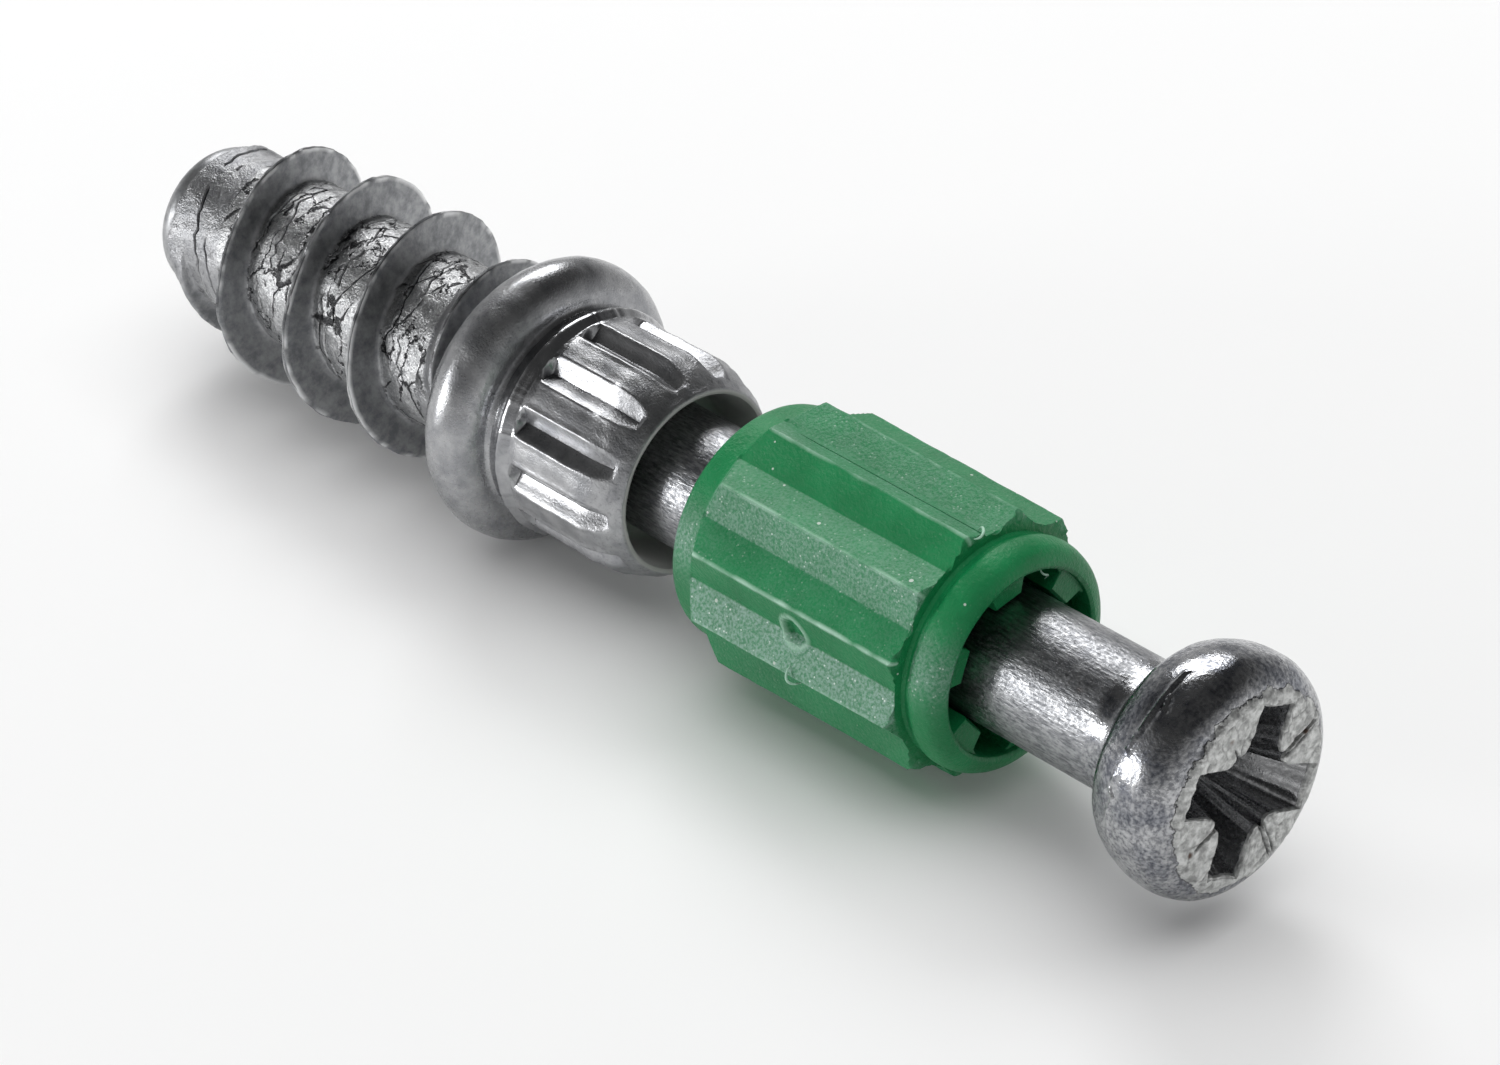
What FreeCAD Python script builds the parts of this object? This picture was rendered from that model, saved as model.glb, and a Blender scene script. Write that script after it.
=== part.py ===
import FreeCAD, Part
import Sketcher
import math
import os
import re

# Connecting bolt for flat-pack furniture, with its loose plastic centring sleeve.
# The bolt's axis is X: the thread's tip points to -X and the head to +X.
# The origin is on the axis, in the plane where the collar seats on a panel, and +Z is up.

doc = FreeCAD.newDocument("ScrewInAnchor")

# Driving sizes in millimetres, counts and degrees
SIZES = [
    ("thread_length", 12.9, "seat to the end of the tip"),
    ("thread_diameter", 6.7, "over the crests"),
    ("core_diameter", 4.5, "core between the turns"),
    ("thread_pitch", 2.76, "one start, right-hand"),
    ("thread_land", 0.14, "flat on the crest"),
    ("head_flank_angle", 12.0, "flank that faces the head, off square"),
    ("tip_flank_angle", 27.0, "flank that faces the tip, off square"),
    ("blank_spare", 1.0, "what the turning grooves reach past the stock"),
    ("thread_set_back", 0.5, "from the seat to the last turn"),
    ("thread_start", 0.38, "from the end of the tip to the first turn's middle"),
    ("thread_foot", 0.35, "ridge sunk into the core"),
    ("lead_in_length", 4.1, "tip to full thread depth"),
    ("run_out_length", 4.4, "full thread depth to the last turn"),
    ("run_out_drop", 0.45, "what the crest loses before the seat"),
    ("tip_face_diameter", 4.0, "blunt end"),
    ("tip_round", 0.35, "length of the rounding at the tip"),
    ("tip_drop", 0.06, "what the core loses at the tip, on the radius"),
    ("collar_diameter", 7.92, "rounded bead that stops on the panel"),
    ("collar_width", 2.2, "bead, along the axis"),
    ("collar_seat_diameter", 6.8, "over the flat ring that meets the panel"),
    ("seat_ring_width", 0.2, "flat ring, on the radius"),
    ("seat_undercut_depth", 0.15, "undercut round the thread, inside the flat ring"),
    ("relief_diameter", 6.04, "groove in front of the bead"),
    ("relief_width", 0.4, "groove, along the axis"),
    ("base_ring_diameter", 6.4, "ring at the foot of the fluted cup"),
    ("base_ring_width", 0.32, "ring, along the axis"),
    ("cup_diameter", 6.1, "fluted cup over its lands"),
    ("cup_reach", 6.85, "seat to the rim of the cup"),
    ("cup_nose_length", 1.6, "rounded front of the cup"),
    ("cup_mouth_diameter", 4.8, "recess round the shank, at the rim"),
    ("cup_floor_diameter", 4.3, "recess round the shank, at its floor"),
    ("cup_recess_depth", 1.7, "recess round the shank"),
    ("cup_lip", 0.16, "width of the rim of the cup"),
    ("flute_count", 12, "notches round the cup"),
    ("flute_depth", 0.42, "from the lands to the notch's root"),
    ("flute_width", 0.72, "notch at the surface"),
    ("flute_floor_width", 0.16, "notch at its root"),
    ("flute_set_back", 0.06, "from the base ring to the notches"),
    ("flute_turn", -4.0, "angle of the first notch from the top"),
    ("shank_diameter", 3.55, "plain neck"),
    ("head_reach", 25.8, "seat to the face of the head"),
    ("head_diameter", 6.36, "over the widest circle"),
    ("head_thickness", 3.7, "shank end to the face"),
    ("head_cone_length", 1.45, "conical underside"),
    ("head_cone_diameter", 5.9, "large end of the underside"),
    ("head_face_diameter", 4.9, "flat face"),
    ("head_crown_length", 0.9, "rounding between face and widest circle"),
    ("recess_span", 4.6, "cross recess over its wings"),
    ("recess_wing_width", 1.16, "wing at the face"),
    ("recess_depth", 2.1, "cross recess"),
    ("recess_floor_span", 2.3, "cross recess over its wings, at the floor"),
    ("recess_floor_wing_width", 0.8, "wing at the floor"),
    ("recess_turn", 22.0, "angle of the first wing from the top"),
    ("tick_width", 0.16, "mark between two wings"),
    ("tick_depth", 0.12, "mark between two wings"),
    ("tick_diameter", 4.8, "over the outer ends of the marks"),
    ("sleeve_offset", 9.2, "seat to the back face of the sleeve"),
    ("sleeve_length", 9.2, "back face to front face"),
    ("sleeve_flange_diameter", 6.5, "shoulder at the back"),
    ("sleeve_back_diameter", 5.8, "flat back face"),
    ("sleeve_back_bevel", 0.3, "bevel at the back face, along the axis"),
    ("rib_count", 12, "ribs round the sleeve"),
    ("rib_diameter", 7.4, "over the ribs, at the back"),
    ("rib_front_diameter", 7.2, "over the ribs, at the front"),
    ("rib_root_diameter", 6.4, "between the ribs, at the back"),
    ("rib_start", 0.85, "back face to the ribs"),
    ("rib_run_up", 0.7, "sloping back end of the ribs"),
    ("rib_end", 1.15, "front of the ribs to the front face"),
    ("rib_turn", 15.0, "angle of the first rib from the top"),
    ("lip_groove_diameter", 6.0, "groove between the ribs and the lip"),
    ("lip_groove_width", 0.2, "groove, along the axis"),
    ("lip_diameter", 6.22, "front lip"),
    ("lip_round", 0.5, "rounding of the lip"),
    ("lip_face_diameter", 5.3, "front face of the lip"),
    ("bore_diameter", 4.98, "sleeve between its fins"),
    ("fin_count", 6, "fins inside the sleeve"),
    ("fin_clearance", 0.075, "fin to shank, on the radius"),
    ("fin_root_sink", 0.2, "fin sunk into the wall"),
    ("fin_root_width", 1.15, "fin at the bore"),
    ("fin_tip_width", 0.8, "fin at the shank"),
    ("fin_set_back", 0.5, "from either face of the sleeve to the fins"),
    ("fin_turn", -10.0, "angle of the first fin from the top"),
]

sheet = doc.addObject("Spreadsheet::Sheet", "Sizes")
for row, (alias, value, note) in enumerate(SIZES, start=1):
    sheet.set(f"A{row}", note)
    sheet.set(f"B{row}", str(value))
    sheet.setAlias(f"B{row}", alias)
doc.recompute()


ALIASES = {alias for alias, value, note in SIZES}


def bound(expression):
    """The expression with each alias pointing at the sheet."""
    return re.sub(r"[a-z]\w*", lambda word: name_in_sheet(word.group(0)), expression)


def name_in_sheet(word):
    """A word of an expression, with the sheet's name before it where it is an alias."""
    return f"Sizes.{word}" if word in ALIASES else word


def number(owner, expression):
    """The expression's value now, from the document's own expression engine."""
    result = owner.evalExpression(bound(expression))
    return float(getattr(result, "Value", result))


def origin_plane(body, role):
    """One of the body's own origin planes."""
    return next(item for item in body.Origin.OriginFeatures if item.Role == role)


def new_body(label):
    """An empty body, whose label names the piece."""
    body = doc.addObject("PartDesign::Body", label)
    body.Label = label
    return body


def new_sketch(body, name, role, offset=None, turn=None):
    """Sketch on an origin plane, moved along its normal and turned about it by sheet expressions."""
    sketch = body.newObject("Sketcher::SketchObject", name)
    sketch.AttachmentSupport = [(origin_plane(body, role), "")]
    sketch.MapMode = "FlatFace"
    if offset:
        sketch.setExpression("AttachmentOffset.Base.z", bound(offset))
    if turn:
        sketch.setExpression("AttachmentOffset.Rotation.Angle", bound(turn))
    doc.recompute()
    return sketch


def level_arc(run, drop):
    """Radius of the arc that is level at one end and falls by drop over run."""
    return f"(({run})^2 + ({drop})^2) / (2 * ({drop}))"


def arc_between(start, end, radius, side):
    """Arc, always counterclockwise, whose centre lies left (side 1) or right (side -1) of the way."""
    chord = end - start
    left = FreeCAD.Vector(-chord.y, chord.x, 0).normalize()
    reach = math.sqrt(radius**2 - (chord.Length / 2) ** 2)
    centre = (start + end) / 2 + left * reach * side
    first, last = (start, end) if side > 0 else (end, start)
    begin = math.atan2(first.y - centre.y, first.x - centre.x)
    sweep = (math.atan2(last.y - centre.y, last.x - centre.x) - begin) % (2 * math.pi)
    circle = Part.Circle(centre, FreeCAD.Vector(0, 0, 1), radius)
    return Part.ArcOfCircle(circle, begin, begin + sweep)


def place_corner(sketch, edge, end, name, across, up):
    """Fix a corner's two coordinates to sheet expressions."""
    for axis, expression in (("X", across), ("Y", up)):
        value = number(sketch, expression)
        if value >= 0:
            constraint = Sketcher.Constraint(f"Distance{axis}", -1, 1, edge, end, value)
            rule = expression
        else:
            constraint = Sketcher.Constraint(f"Distance{axis}", edge, end, -1, 1, -value)
            rule = f"-({expression})"
        index = sketch.addConstraint(constraint)
        sketch.renameConstraint(index, f"{name}_{axis.lower()}")
        sketch.setExpression(f"Constraints.{name}_{axis.lower()}", bound(rule))


def draw_outline(sketch, corners):
    """Closed outline through named corners. Each corner is its name, its two coordinates as
    expressions and, where an arc leaves it, the arc's radius and side."""
    points = [FreeCAD.Vector(number(sketch, c[1]), number(sketch, c[2]), 0) for c in corners]
    starts = []
    ends = []
    for index, (name, across, up, *arc) in enumerate(corners):
        start = points[index]
        end = points[(index + 1) % len(points)]
        if arc:
            shape = arc_between(start, end, number(sketch, arc[0]), arc[1])
        else:
            shape = Part.LineSegment(start, end)
        edge = sketch.addGeometry(shape, False)
        backward = bool(arc) and arc[1] < 0
        starts.append((edge, 2 if backward else 1))
        ends.append((edge, 1 if backward else 2))
    for index in range(len(corners)):
        following = (index + 1) % len(corners)
        sketch.addConstraint(Sketcher.Constraint("Coincident", *ends[index], *starts[following]))
    for (name, across, up, *arc), (edge, end) in zip(corners, starts):
        place_corner(sketch, edge, end, name, across, up)
        if arc:
            index = sketch.addConstraint(Sketcher.Constraint("Radius", edge, number(sketch, arc[0])))
            sketch.renameConstraint(index, f"{name}_radius")
            sketch.setExpression(f"Constraints.{name}_radius", bound(arc[0]))
    doc.recompute()


def draw_circle(sketch, name, radius):
    """Circle about the sketch's origin."""
    circle = Part.Circle(FreeCAD.Vector(0, 0, 0), FreeCAD.Vector(0, 0, 1), number(sketch, radius))
    edge = sketch.addGeometry(circle, False)
    sketch.addConstraint(Sketcher.Constraint("Coincident", edge, 3, -1, 1))
    index = sketch.addConstraint(Sketcher.Constraint("Radius", edge, number(sketch, radius)))
    sketch.renameConstraint(index, name)
    sketch.setExpression(f"Constraints.{name}", bound(radius))
    doc.recompute()


def turned(body, kind, name, corners):
    """Revolution or Groove about the X axis, from an outline in the XZ plane."""
    sketch = new_sketch(body, f"{name}Outline", "XZ_Plane")
    draw_outline(sketch, corners)
    feature = body.newObject(f"PartDesign::{kind}", name)
    feature.Profile = sketch
    feature.ReferenceAxis = (sketch, ["H_Axis"])
    feature.Angle = 360
    doc.recompute()
    return feature


def repeated(body, feature, name, count):
    """Polar pattern of a feature about the X axis."""
    pattern = body.newObject("PartDesign::PolarPattern", name)
    pattern.Originals = [feature]
    pattern.Axis = (feature.Profile[0], ["N_Axis"])
    pattern.Angle = 360
    pattern.setExpression("Occurrences", bound(count))
    body.Tip = pattern
    doc.recompute()
    return pattern


def require_cut(body, volume_before, what):
    """A pocket or groove that misses the solid shows no error, so its volume is compared."""
    if body.Shape.Volume >= volume_before - 1e-4:
        raise RuntimeError(f"{what} cuts nothing")


def bolt_thread(body):
    """Core with the right-hand ridge wound on it, then the lead-in at the tip and the run-out."""
    turned(body, "Revolution", "Core", [
        ("blank_centre", "-thread_length - blank_spare", "0"),
        ("blank_edge", "-thread_length - blank_spare", "core_diameter / 2"),
        ("buried_edge", "collar_width", "core_diameter / 2"),
        ("buried_centre", "collar_width", "0"),
    ])
    middle = "thread_start - thread_length"
    foot = "core_diameter / 2 - thread_foot"
    rise = f"(thread_diameter / 2 - ({foot}))"
    section = new_sketch(body, "ThreadSection", "XZ_Plane")
    draw_outline(section, [
        ("tip_foot", f"{middle} - thread_land / 2 - {rise} * tan(tip_flank_angle * 1 deg)", foot),
        ("tip_crest", f"{middle} - thread_land / 2", "thread_diameter / 2"),
        ("head_crest", f"{middle} + thread_land / 2", "thread_diameter / 2"),
        ("head_foot", f"{middle} + thread_land / 2 + {rise} * tan(head_flank_angle * 1 deg)", foot),
    ])
    ridge = body.newObject("PartDesign::AdditiveHelix", "Thread")
    ridge.Profile = section
    ridge.ReferenceAxis = (section, ["H_Axis"])
    ridge.Mode = "pitch-height-angle"
    ridge.LeftHanded = False
    ridge.setExpression("Pitch", bound("thread_pitch"))
    ridge.setExpression("Height", bound("thread_length - thread_start - thread_set_back"))
    doc.recompute()
    clear = "thread_diameter / 2 + blank_spare"
    before = body.Shape.Volume
    turned(body, "Groove", "LeadIn", [
        ("blank_end", "-thread_length - 2 * blank_spare", "0"),
        ("tip_centre", "-thread_length", "0"),
        ("tip_edge", "-thread_length", "tip_face_diameter / 2"),
        ("tip_shoulder", "-thread_length + tip_round", "core_diameter / 2 - tip_drop"),
        ("full_depth", "-thread_length + lead_in_length", "thread_diameter / 2"),
        ("full_depth_clear", "-thread_length + lead_in_length", clear),
        ("blank_end_clear", "-thread_length - 2 * blank_spare", clear),
    ])
    require_cut(body, before, "the lead-in")
    before = body.Shape.Volume
    turned(body, "Groove", "RunOut", [
        ("run_out_start", "-run_out_length", "thread_diameter / 2"),
        ("run_out_end", "0", "thread_diameter / 2 - run_out_drop"),
        ("run_out_clear", "0", clear),
        ("start_clear", "-run_out_length", clear),
    ])
    require_cut(body, before, "the run-out")


def bolt_profile(body):
    """Collar, fluted cup, shank and head: all that lies on the head's side of the seat."""
    bead_half = "collar_width / 2"
    ring_end = "collar_width + relief_width + base_ring_width"
    rim = "cup_mouth_diameter / 2 + cup_lip"
    floor = "cup_reach - cup_recess_depth"
    under_head = "head_reach - head_thickness"
    undercut = "collar_seat_diameter / 2 - seat_ring_width"
    turned(body, "Revolution", "CollarAndHead", [
        ("undercut_centre", "seat_undercut_depth", "0"),
        ("undercut_edge", "seat_undercut_depth", undercut),
        ("seat_inner", "0", undercut),
        ("seat_edge", "0", "collar_seat_diameter / 2",
         level_arc(bead_half, "(collar_diameter - collar_seat_diameter) / 2"), -1),
        ("bead_top", bead_half, "collar_diameter / 2",
         level_arc(bead_half, "(collar_diameter - relief_diameter) / 2"), -1),
        ("relief_back", "collar_width", "relief_diameter / 2"),
        ("relief_front", "collar_width + relief_width", "relief_diameter / 2"),
        ("ring_back", f"{ring_end} - base_ring_width * 3 / 4", "base_ring_diameter / 2"),
        ("ring_front", f"{ring_end} - base_ring_width / 4", "base_ring_diameter / 2"),
        ("cup_back", ring_end, "cup_diameter / 2"),
        ("nose_back", "cup_reach - cup_nose_length", "cup_diameter / 2",
         level_arc("cup_nose_length", f"cup_diameter / 2 - ({rim})"), -1),
        ("rim_outer", "cup_reach", rim),
        ("rim_inner", "cup_reach", "cup_mouth_diameter / 2"),
        ("cup_floor", floor, "cup_floor_diameter / 2"),
        ("shank_back", floor, "shank_diameter / 2"),
        ("shank_front", under_head, "shank_diameter / 2"),
        ("cone_front", f"{under_head} + head_cone_length", "head_cone_diameter / 2"),
        ("head_widest", "head_reach - head_crown_length", "head_diameter / 2",
         level_arc("head_crown_length", "(head_diameter - head_face_diameter) / 2"), -1),
        ("face_edge", "head_reach", "head_face_diameter / 2"),
        ("face_centre", "head_reach", "0"),
    ])


def bolt_flutes(body):
    """Notches round the cup: blunt behind the base ring, running out where the nose rounds off."""
    back = "collar_width + relief_width + base_ring_width + flute_set_back"
    root = "cup_diameter / 2 - flute_depth"
    flare = "(flute_width - flute_floor_width) / flute_depth"
    sketch = new_sketch(body, "FluteSection", "YZ_Plane", back, "-flute_turn")
    draw_outline(sketch, [
        ("root_left", "-flute_floor_width / 2", root),
        ("mouth_left", f"-flute_width / 2 - {flare} * flute_depth / 2", f"{root} + 2 * flute_depth"),
        ("mouth_right", f"flute_width / 2 + {flare} * flute_depth / 2", f"{root} + 2 * flute_depth"),
        ("root_right", "flute_floor_width / 2", root),
    ])
    before = body.Shape.Volume
    flute = body.newObject("PartDesign::Pocket", "Flute")
    flute.Profile = sketch
    flute.Reversed = True
    flute.setExpression("Length", bound(f"cup_reach - ({back})"))
    doc.recompute()
    require_cut(body, before, "the flute")
    repeated(body, flute, "Flutes", "flute_count")


def draw_cross(sketch, span, width):
    """Cross of four equal wings about the sketch's origin."""
    far = f"{span} / 2"
    near = f"{width} / 2"
    quarter = [(near, far), (near, near), (far, near), (far, f"-{near}"), (near, f"-{near}"),
               (near, f"-{far}"), (f"-{near}", f"-{far}"), (f"-{near}", f"-{near}"),
               (f"-{far}", f"-{near}"), (f"-{far}", near), (f"-{near}", near), (f"-{near}", far)]
    draw_outline(sketch, [(f"corner_{i}", across, up) for i, (across, up) in enumerate(quarter)])


def bolt_recess(body):
    """Tapered cross in the head's face, and four short marks between its wings."""
    mouth = new_sketch(body, "RecessMouth", "YZ_Plane", "head_reach", "-recess_turn")
    draw_cross(mouth, "recess_span", "recess_wing_width")
    floor = new_sketch(body, "RecessFloor", "YZ_Plane", "head_reach - recess_depth", "-recess_turn")
    draw_cross(floor, "recess_floor_span", "recess_floor_wing_width")
    before = body.Shape.Volume
    recess = body.newObject("PartDesign::SubtractiveLoft", "Recess")
    recess.Profile = mouth
    recess.Sections = [floor]
    recess.Ruled = True
    doc.recompute()
    require_cut(body, before, "the recess")
    before = body.Shape.Volume
    mark = new_sketch(body, "TickOutline", "YZ_Plane", "head_reach", "-recess_turn - 45")
    draw_outline(mark, [
        ("inner_left", "-tick_width / 2", "recess_wing_width / 2"),
        ("outer_left", "-tick_width / 2", "tick_diameter / 2"),
        ("outer_right", "tick_width / 2", "tick_diameter / 2"),
        ("inner_right", "tick_width / 2", "recess_wing_width / 2"),
    ])
    tick = body.newObject("PartDesign::Pocket", "Tick")
    tick.Profile = mark
    tick.setExpression("Length", bound("tick_depth"))
    doc.recompute()
    require_cut(body, before, "the mark")
    repeated(body, tick, "Ticks", "4")


def draw_star(sketch, crest, root):
    """Sharp-ribbed outline: crests and roots take turns, evenly spaced from the top."""
    corners = []
    for rib in range(int(number(sketch, "rib_count"))):
        for name, radius, step in (("crest", crest, rib), ("root", root, rib + 0.5)):
            angle = f"({step} * 360 / rib_count * 1 deg)"
            corners.append((f"{name}_{rib}", f"{radius} * sin{angle}", f"{radius} * cos{angle}"))
    draw_outline(sketch, corners)


def sleeve_ribs(body):
    """Sharp ribs that taper a little to the front, with rounded backs."""
    back = new_sketch(body, "RibsBack", "YZ_Plane", "sleeve_offset + rib_start", "-rib_turn")
    draw_star(back, "rib_diameter / 2", "rib_root_diameter / 2")
    end = "sleeve_offset + sleeve_length - rib_end"
    front = new_sketch(body, "RibsFront", "YZ_Plane", end, "-rib_turn")
    drop = "(rib_diameter - rib_front_diameter) / 4"
    draw_star(front, "rib_front_diameter / 2", f"(rib_root_diameter / 2 - {drop})")
    ribs = body.newObject("PartDesign::AdditiveLoft", "Ribs")
    ribs.Profile = back
    ribs.Sections = [front]
    ribs.Ruled = True
    doc.recompute()
    start = "sleeve_offset + rib_start"
    clear = "rib_diameter / 2 + blank_spare"
    before = body.Shape.Volume
    turned(body, "Groove", "RibBacks", [
        ("foot", start, "sleeve_flange_diameter / 2",
         level_arc("rib_run_up", "(rib_diameter - sleeve_flange_diameter) / 2"), -1),
        ("top", f"{start} + rib_run_up", "rib_diameter / 2"),
        ("top_clear", f"{start} + rib_run_up", clear),
        ("foot_clear", start, clear),
    ])
    require_cut(body, before, "the ribs' rounding")


def sleeve_shell(body):
    """Bevelled shoulder at the back, core under the ribs, groove and rounded lip at the front."""
    front = "sleeve_offset + sleeve_length"
    core = "lip_groove_diameter / 2"
    lip_back = f"{front} - rib_end + lip_groove_width"
    turned(body, "Revolution", "Shell", [
        ("back_centre", "sleeve_offset", "0"),
        ("back_edge", "sleeve_offset", "sleeve_back_diameter / 2"),
        ("flange_back", "sleeve_offset + sleeve_back_bevel", "sleeve_flange_diameter / 2"),
        ("flange_front", "sleeve_offset + rib_start", "sleeve_flange_diameter / 2"),
        ("core_back", "sleeve_offset + rib_start", core),
        ("core_front", lip_back, core),
        ("lip_back", lip_back, "lip_diameter / 2"),
        ("lip_front", f"{front} - lip_round", "lip_diameter / 2",
         level_arc("lip_round", "(lip_diameter - lip_face_diameter) / 2"), -1),
        ("face_edge", front, "lip_face_diameter / 2"),
        ("face_centre", front, "0"),
    ])
    before = body.Shape.Volume
    mouth = new_sketch(body, "BoreOutline", "YZ_Plane", front)
    draw_circle(mouth, "bore_radius", "bore_diameter / 2")
    bore = body.newObject("PartDesign::Pocket", "Bore")
    bore.Profile = mouth
    bore.Type = "ThroughAll"
    doc.recompute()
    require_cut(body, before, "the bore")


def sleeve_fins(body):
    """Fins inside the bore that centre the sleeve on the shank with a running clearance."""
    tip = "shank_diameter / 2 + fin_clearance"
    root = "bore_diameter / 2 + fin_root_sink"
    sketch = new_sketch(body, "FinSection", "YZ_Plane", "sleeve_offset + fin_set_back", "-fin_turn")
    draw_outline(sketch, [
        ("tip_left", "-fin_tip_width / 2", tip),
        ("tip_right", "fin_tip_width / 2", tip),
        ("root_right", "fin_root_width / 2", root),
        ("root_left", "-fin_root_width / 2", root),
    ])
    fin = body.newObject("PartDesign::Pad", "Fin")
    fin.Profile = sketch
    fin.setExpression("Length", bound("sleeve_length - 2 * fin_set_back"))
    doc.recompute()
    repeated(body, fin, "Fins", "fin_count")


def connecting_bolt():
    """One cold-formed steel bolt: thread, collar, fluted cup, shank and head."""
    body = new_body("connecting_bolt")
    bolt_thread(body)
    bolt_profile(body)
    bolt_flutes(body)
    bolt_recess(body)
    return body


def centring_sleeve():
    """One moulded sleeve, loose on the shank between the cup and the head."""
    body = new_body("centring_sleeve")
    sleeve_ribs(body)
    sleeve_shell(body)
    sleeve_fins(body)
    return body


def check_model(pieces):
    """Stop if any object failed or a piece isn't one valid solid."""
    for item in doc.Objects:
        if "Invalid" in item.State or "Error" in item.State:
            raise RuntimeError(f"{item.Label} failed: {item.State}")
    for piece in pieces:
        if piece.Shape.isNull() or not piece.Shape.isValid() or len(piece.Shape.Solids) != 1:
            raise RuntimeError(f"{piece.Label} isn't one valid solid")


pieces = [connecting_bolt(), centring_sleeve()]
doc.recompute()
check_model(pieces)
os.makedirs("parts", exist_ok=True)
for piece in pieces:
    piece.Shape.exportStep(f"parts/{piece.Label}.step")
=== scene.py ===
import math

import bpy
import numpy as np
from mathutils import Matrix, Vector


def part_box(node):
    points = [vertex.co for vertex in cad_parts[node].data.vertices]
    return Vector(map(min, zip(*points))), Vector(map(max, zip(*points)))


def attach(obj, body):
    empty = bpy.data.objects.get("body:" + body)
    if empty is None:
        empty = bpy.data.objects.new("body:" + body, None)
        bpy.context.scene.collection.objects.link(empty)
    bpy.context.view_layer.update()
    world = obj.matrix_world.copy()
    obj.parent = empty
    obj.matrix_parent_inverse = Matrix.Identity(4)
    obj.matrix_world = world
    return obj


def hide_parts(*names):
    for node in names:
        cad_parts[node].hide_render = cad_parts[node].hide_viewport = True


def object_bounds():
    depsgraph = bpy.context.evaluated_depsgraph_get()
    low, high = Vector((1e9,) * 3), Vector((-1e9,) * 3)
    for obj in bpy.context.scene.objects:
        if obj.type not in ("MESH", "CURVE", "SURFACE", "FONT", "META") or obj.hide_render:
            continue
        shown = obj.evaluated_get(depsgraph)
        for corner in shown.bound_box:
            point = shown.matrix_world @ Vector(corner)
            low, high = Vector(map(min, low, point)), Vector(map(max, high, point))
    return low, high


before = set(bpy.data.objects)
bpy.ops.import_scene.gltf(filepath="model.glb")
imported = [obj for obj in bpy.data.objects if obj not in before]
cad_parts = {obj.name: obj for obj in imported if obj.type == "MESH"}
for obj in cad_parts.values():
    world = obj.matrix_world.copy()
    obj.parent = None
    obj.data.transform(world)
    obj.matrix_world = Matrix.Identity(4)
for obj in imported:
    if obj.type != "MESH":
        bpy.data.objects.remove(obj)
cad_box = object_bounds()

# Screw-in anchor for flat-pack furniture: a cold-formed steel bolt with a coarse wood thread,
# a rounded collar, a fluted cup, a plain neck and a cross-recess head, and its loose green sleeve.
# Lengths are millimetres until a mesh is made. The bolt's axis is X. The angle round the axis is
# in degrees from the top, positive towards +Y, so the near side of the photograph is at about -47.

MM = 0.001
bolt_low, bolt_high = [np.array(corner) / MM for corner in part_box("connecting_bolt")]
sleeve_low, sleeve_high = [np.array(corner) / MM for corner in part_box("centring_sleeve")]

# Bolt, measured from the plane where its collar seats
TIP = bolt_low[0]
FACE = bolt_high[0]
COLLAR_R = bolt_high[2]
ROOT_R = 2.25
PITCH = 2.76
CREST_AT_TOP = -6.70
TIP_FACE_R = 1.62
TIP_ROUND = 0.5
TIP_LEAD = 0.45
TIP_RUN = 0.85
SKIN_START = 0.72
COLLAR_WIDTH = 2.2
GROOVE_R = 3.02
RING_R = 3.2
CUP_R = 3.05
CUP_NOSE = 5.2
CUP_RIM = 6.85
CUP_FLOOR = 5.15
FLUTES = 12
FLUTE_ANGLE = -4.0
FLUTE_DEPTH = 0.31
FLUTE_HALF = 0.39
FLUTE_BACK = 3.04
NECK_R = 1.775
HEAD_R = 3.18
HEAD_FACE_R = 2.45
FACE_EDGE_R = HEAD_FACE_R - 0.05
HEAD_BACK = 22.0
UNDERSIDE = 22.85
DRAWN_END = 22.2
RECESS_ANGLE = 22.0
RECESS_DEPTH = 2.1
FLOOR_SINK = 0.35
LIP_DEPTH = 0.07
LIP_INSET = 0.045
FACE_RINGS = 14
WINGS = 4

# Sleeve
BACK = sleeve_low[0]
FRONT = sleeve_high[0]
RIBS = 12
RIB_ANGLE = 16.5
RIB_R = 3.7
RIB_FRONT_R = 3.6
VALLEY_R = 3.2
SHOULDER_R = 3.25
OVER_RIBS = 3.9
BORE_R = 2.49
FINS = 6
FIN_ANGLE = -10.0
FIN_R = 1.85
FIN_HALF = 12.6

# Points closer than WELD become one, and points nearer to the axis than AT_AXIS stay on it
WELD = 0.0004
AT_AXIS = 0.001


# Shapes worked out as whole arrays


def lattice(i, j, k, seed):
    """Repeatable value in 0..1 for each whole-number lattice point: its three numbers and the
    seed are multiplied by large odd numbers, mixed bitwise and cut to 16 bits."""
    mix = (i * 73856093) ^ (j * 19349663) ^ (k * 83492791) ^ (seed * 29986577)
    mix = mix.astype(np.uint64) & np.uint64(0xFFFFFFFF)
    for factor, shift in ((2246822519, 15), (3266489917, 13)):
        mix = (mix ^ (mix >> np.uint64(shift))) * np.uint64(factor) & np.uint64(0xFFFFFFFF)
    return ((mix ^ (mix >> np.uint64(16))) & np.uint64(0xFFFF)).astype(float) / 65535


def soft_noise(points, cell, seed):
    """Value noise in -1..1: lattice values a cell apart, blended with the smoothstep
    3 f^2 - 2 f^3 along each axis."""
    scaled = np.asarray(points) / cell
    base = np.floor(scaled)
    f = scaled - base
    f = f * f * (3 - 2 * f)
    base = base.astype(np.int64)
    total = np.zeros(scaled.shape[:-1])
    for step in np.ndindex(2, 2, 2):
        share = np.where(step, f, 1 - f)
        weight = share[..., 0] * share[..., 1] * share[..., 2]
        corner = base + step
        total += weight * lattice(corner[..., 0], corner[..., 1], corner[..., 2], seed)
    return 2 * total - 1


def lumpy(points, cell, octaves, seed):
    """Sum of value noises, each with half the cell and half the height of the one before."""
    total = 0
    for octave in range(octaves):
        total = total + soft_noise(points, cell / 2**octave, seed + octave) / 2**octave
    return total


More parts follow.
